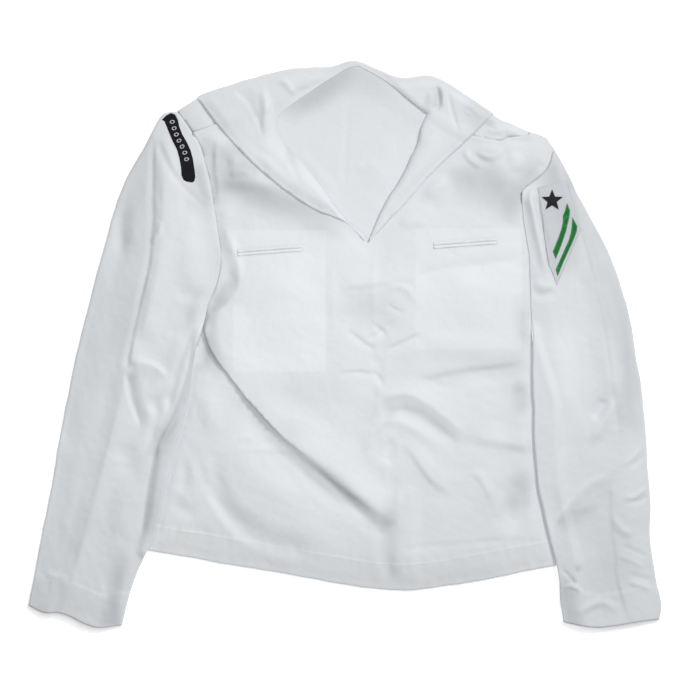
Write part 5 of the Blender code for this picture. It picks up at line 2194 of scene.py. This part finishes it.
@dataclass
class Tape:
    """The black tape beside the left armhole, with a plain woven row of diamonds."""

    left: Line = (
        (-228.5, 281), (-225, 279), (-221, 269), (-216, 257), (-209, 243), (-206, 232), (-204, 221),
        (-203.5, 211), (-201, 205.5), (-197, 203.5),
    )
    right: Line = (
        (-190, 202.5), (-187.5, 204.5), (-186.5, 210), (-187.5, 219), (-189.5, 232), (-192.5, 243),
        (-197.5, 253.5), (-203, 263), (-206.5, 272), (-208.5, 281), (-212, 287.5), (-217, 289.5),
        (-223, 286.5),
    )
    middle: Line = (
        (-217, 283), (-213, 270), (-208, 257), (-201, 243), (-197.5, 232), (-195.5, 220),
    (-195, 207), )
    spacing: float = 8.4
    diamond: tuple[float, float] = (2.4, 3.3)

    def rim(self, step: float) -> Array:
        """The tape's wavy outline."""
        return corner_rim([*self.left, *self.right])(step)

    def build(self, maker: Maker, sleeve: Ground, black: Material, white: Material) -> None:
        """Make the tape on the sleeve, its woven marks and its stitches.

        Args:
            maker: What adds the pieces to the scene.
            sleeve: The sleeve's face.
            black: The material of the tape.
            white: The material of the woven marks.
        """
        tape = Trim("tape_strip", self.rim, Slot.TAPE, ("shoulder_tape",), step=4.0)
        face = tape.build(maker, sleeve, black)
        edging = Stitching("tape_stitching", black, Slot.TAPE, pitch=2.4, long=1.9, thick=0.4)
        edging.row(face, closed(inset(self.rim(1.5), 1.2)), 9).build(maker)
        path = smooth_line(self.middle, 1.0)
        marks = Stitching("tape_marks", white, Slot.PATCH, thick=1.15)
        long, wide = self.diamond
        corners = [(-long, 0), (0, wide), (long, 0), (0, -wide), (-long, 0)]
        for station in np.arange(5, lengths_along(path)[-1] - 20, self.spacing):
            ends = read_at(path, np.array([station, station + 1]))
            run = ends[1] - ends[0]
            side = np.array([-run[1], run[0]])
            places = [ends[0] + a * run + b * side for a, b in corners]
            for pair in zip(places, places[1:]):
                marks.single(face, np.array(pair))
        marks.build(maker)


@dataclass
class Badge:
    """The white patch on the right sleeve, with two green felt stripes and a plain star."""

    patch: Line = ((240, 196), (276, 205), (294, 144), (264, 74), (254, 100))
    upper: Line = (
        (276.5, 177), (274, 167), (271.5, 161), (271.5, 153), (269.5, 144), (266, 134), (262, 124),
        (259, 116.5), (262.5, 107), (267.5, 119), (271, 129), (275, 141), (277, 150), (279, 158),
        (280, 167),
    )
    lower: Line = (
        (283, 159), (282.5, 150), (281.5, 141), (279, 131), (275, 122), (270.5, 112), (266, 102),
        (262.5, 94), (265, 86), (272, 103), (277.5, 115), (282, 125), (286, 134.5), (288.5, 142),
        (289, 148),
    )
    star_middle: tuple[float, float] = (258, 180)
    star_radii: tuple[float, float] = (14, 6)

    def star(self) -> list[tuple[float, float]]:
        """The star's corners.

        Returns:
            The corners in turn.
        """
        corners, (x, y) = [], self.star_middle
        for i in range(10):
            turn, radius = pi / 2 + i * pi / 5, self.star_radii[i % 2]
            corners.append((x + radius * cos(turn), y + radius * sin(turn)))
        return corners

    def build(
        self, maker: Maker, sleeve: Ground, cloth: Material, felt: Material, green: Material,
        thread: Material, white: Material,
    ) -> None:
        """Make the patch on the sleeve and what is on it.

        Args:
            maker: What adds the pieces to the scene.
            sleeve: The sleeve's face.
            cloth: The material of the patch.
            felt: The material of the stripes.
            green: The material of the stripes' stitches.
            thread: The material of the motif.
            white: The material of the patch's stitches.
        """
        rim = corner_rim(self.patch[::-1])
        node, thin = ("sleeve_patch",), {"wall": 0.16, "gap": 0.06}
        patch = Trim("badge_patch", rim, Slot.PATCH, node, step=7.0, **thin)
        face = patch.build(maker, sleeve, cloth)
        around = Stitching("badge_stitching", white, Slot.PATCH, pitch=2.6, long=2.0, thick=0.36)
        around.row(face, closed(inset(rim(2.0), 1.5)), 11)
        chains = Stitching("stripe_stitching", green, Slot.FELT, pitch=1.8, long=1.9, thick=0.8)
        for name, path in (("stripe_upper", self.upper), ("stripe_lower", self.lower)):
            strip = corner_rim(path)
            stripe = Trim(f"badge_{name}", strip, Slot.FELT, (name,), crown=0.4, step=4.0, edge=1.2)
            top = stripe.build(maker, face, felt)
            chains.row(top, closed(inset(strip(1.5), 0.9)), 13)
        chains.build(maker)
        corners = self.star()
        rim = corner_rim(corners)
        motif = Trim("badge_star", rim, Slot.THREAD, ("sleeve_motif",), crown=0.5, step=2.6)
        top = motif.build(maker, face, thread)
        satin = Stitching("motif_stitching", thread, Slot.THREAD, pitch=0.9, long=0.9, thick=0.5)
        middle = np.array(self.star_middle)
        for share in (0.94, 0.72, 0.5, 0.28):
            ring = smooth_line([*corners, corners[0]], 0.8, True)
            satin.row(top, middle + (ring - middle) * share, 15)
        satin.build(maker)
        around.build(maker)


def main() -> None:
    """Build the shirt, its stage and its camera."""
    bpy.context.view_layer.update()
    Studio().build()
    maker = Maker()
    # Where the two pocket bags and the placket show through, and where the hem is worn
    zones = (
        Zone((-82, 55), (58, 88), 1.8, 0.50),
        Zone((154, 70), (66, 75), 1.8, 0.42),
        Zone((10, 98), (38, 34), 3.0, 0.15),
        Zone((-195, -238), (34, 16), 10.0, 0.6, 1.0, True),
    )
    body = Twill("body_twill", zones=zones).dress()
    plain = Twill("twill").dress()
    # Sleeve twill: the body's twill made darker, painted shade for the light falling off towards
    # the arms
    shaded_sleeve_cloth = Twill("sleeve_twill", colour=(0.70, 0.72, 0.745), shade=(0.65, 0.675, 0.70)).dress()
    threads = {
        "white_thread": ((0.74, 0.75, 0.775), (0.66, 0.67, 0.70), 0.5, 30, 0.75, 0.1),
        "tape_cloth": ((0.006, 0.006, 0.009), (0.014, 0.014, 0.019), 0.7, 70, 0.85, 0.0),
        "green_felt": ((0.010, 0.115, 0.022), (0.05, 0.40, 0.10), 0.8, 60, 0.9, 0.15, 0.3),
        "green_thread": ((0.05, 0.42, 0.10), (0.12, 0.60, 0.20), 0.5, 20, 0.8, 0.1),
        "black_thread": ((0.01, 0.01, 0.012), (0.03, 0.03, 0.034), 0.6, 20, 0.6, 0.1),
    }
    made = {name: Woven(name, *finish).dress() for name, finish in threads.items()}
    white, green, black = made["white_thread"], made["green_thread"], made["black_thread"]
    # The patch's twill is made darker than white to match the shading of the sleeve round it:
    # painted shade
    patch_shaded_colours = {"colour": (0.585, 0.605, 0.63), "shade": (0.545, 0.56, 0.59)}
    patch = Twill("patch_cloth", rib=0.7, **patch_shaded_colours).dress()

    Back().build(maker, plain)
    front = Front().build(maker, body)
    collar = Collar().build(maker, plain)
    seam, inner = sleeve_lines(ARMHOLE_LEFT, 5, SLEEVE_LEFT_INNER)
    left = Sleeve(
        Side.LEFT, SLEEVE_LEFT_OUTER, inner, seam, CUFF_LEFT, SIDE_LEFT,
        SLEEVE_LEFT_FOLDS, (0.44, 0.70), 0.19, lip=-0.5, lip_start=0, flush=0.32, rise=46,
    )
    seam, inner = sleeve_lines(ARMHOLE_RIGHT, 3, SLEEVE_RIGHT_INNER)
    right = Sleeve(
        Side.RIGHT, SLEEVE_RIGHT_OUTER, inner, seam, CUFF_RIGHT, SIDE_RIGHT,
        SLEEVE_RIGHT_FOLDS, (0.44, 0.66), 0.16, lip=3.0, lip_start=44, flush=0.0, rise=16,
    )
    left_ground, right_ground = left.build(maker, shaded_sleeve_cloth), right.build(maker, shaded_sleeve_cloth)
    Tape().build(maker, left_ground, made["tape_cloth"], white)
    Badge().build(maker, right_ground, patch, made["green_felt"], green, black, white)

    body_thread = Stitching("body_stitching", white, Slot.TWILL, thick=FINE_THREAD)
    Pocket("pocket_left", (-134, 114), (-54, 120)).build(maker, front, body, body_thread)
    Pocket("pocket_right", (110, 123), (189, 129)).build(maker, front, body, body_thread)
    body_thread.row(front, beside(HEM, 31.5), 21).row(front, beside(HEM, 2.6), 22)
    for offset in (2.0, 6.0):
        body_thread.row(front, beside(ARMHOLE_LEFT[2:], offset), 23)
        body_thread.row(front, beside(ARMHOLE_RIGHT[::-1], offset), 24)
        body_thread.row(front, beside(SHOULDER_SEAM_LEFT, -offset), 25)
    body_thread.build(maker)
    collar_thread = Stitching("collar_stitching", white, Slot.TWILL, thick=FINE_THREAD)
    for line in (LAPEL_LEFT, LAPEL_RIGHT):
        for offset in (2.0, 6.5):
            collar_thread.row(collar, beside(line, offset), 31)
    collar_thread.build(maker)
    for sleeve, ground in ((left, left_ground), (right, right_ground)):
        thread = Stitching(f"{sleeve.name}_stitching", white, Slot.TWILL, thick=FINE_THREAD)
        sign = sleeve.side.value
        for offset in (sleeve.band - 1.8, 2.4):
            thread.row(ground, beside(sleeve.cuff, -sign * offset)[2:-2], 41)
        thread.build(maker)


if __name__ == "__main__":
    logging.basicConfig(level=logging.INFO, format="%(message)s")
    main()
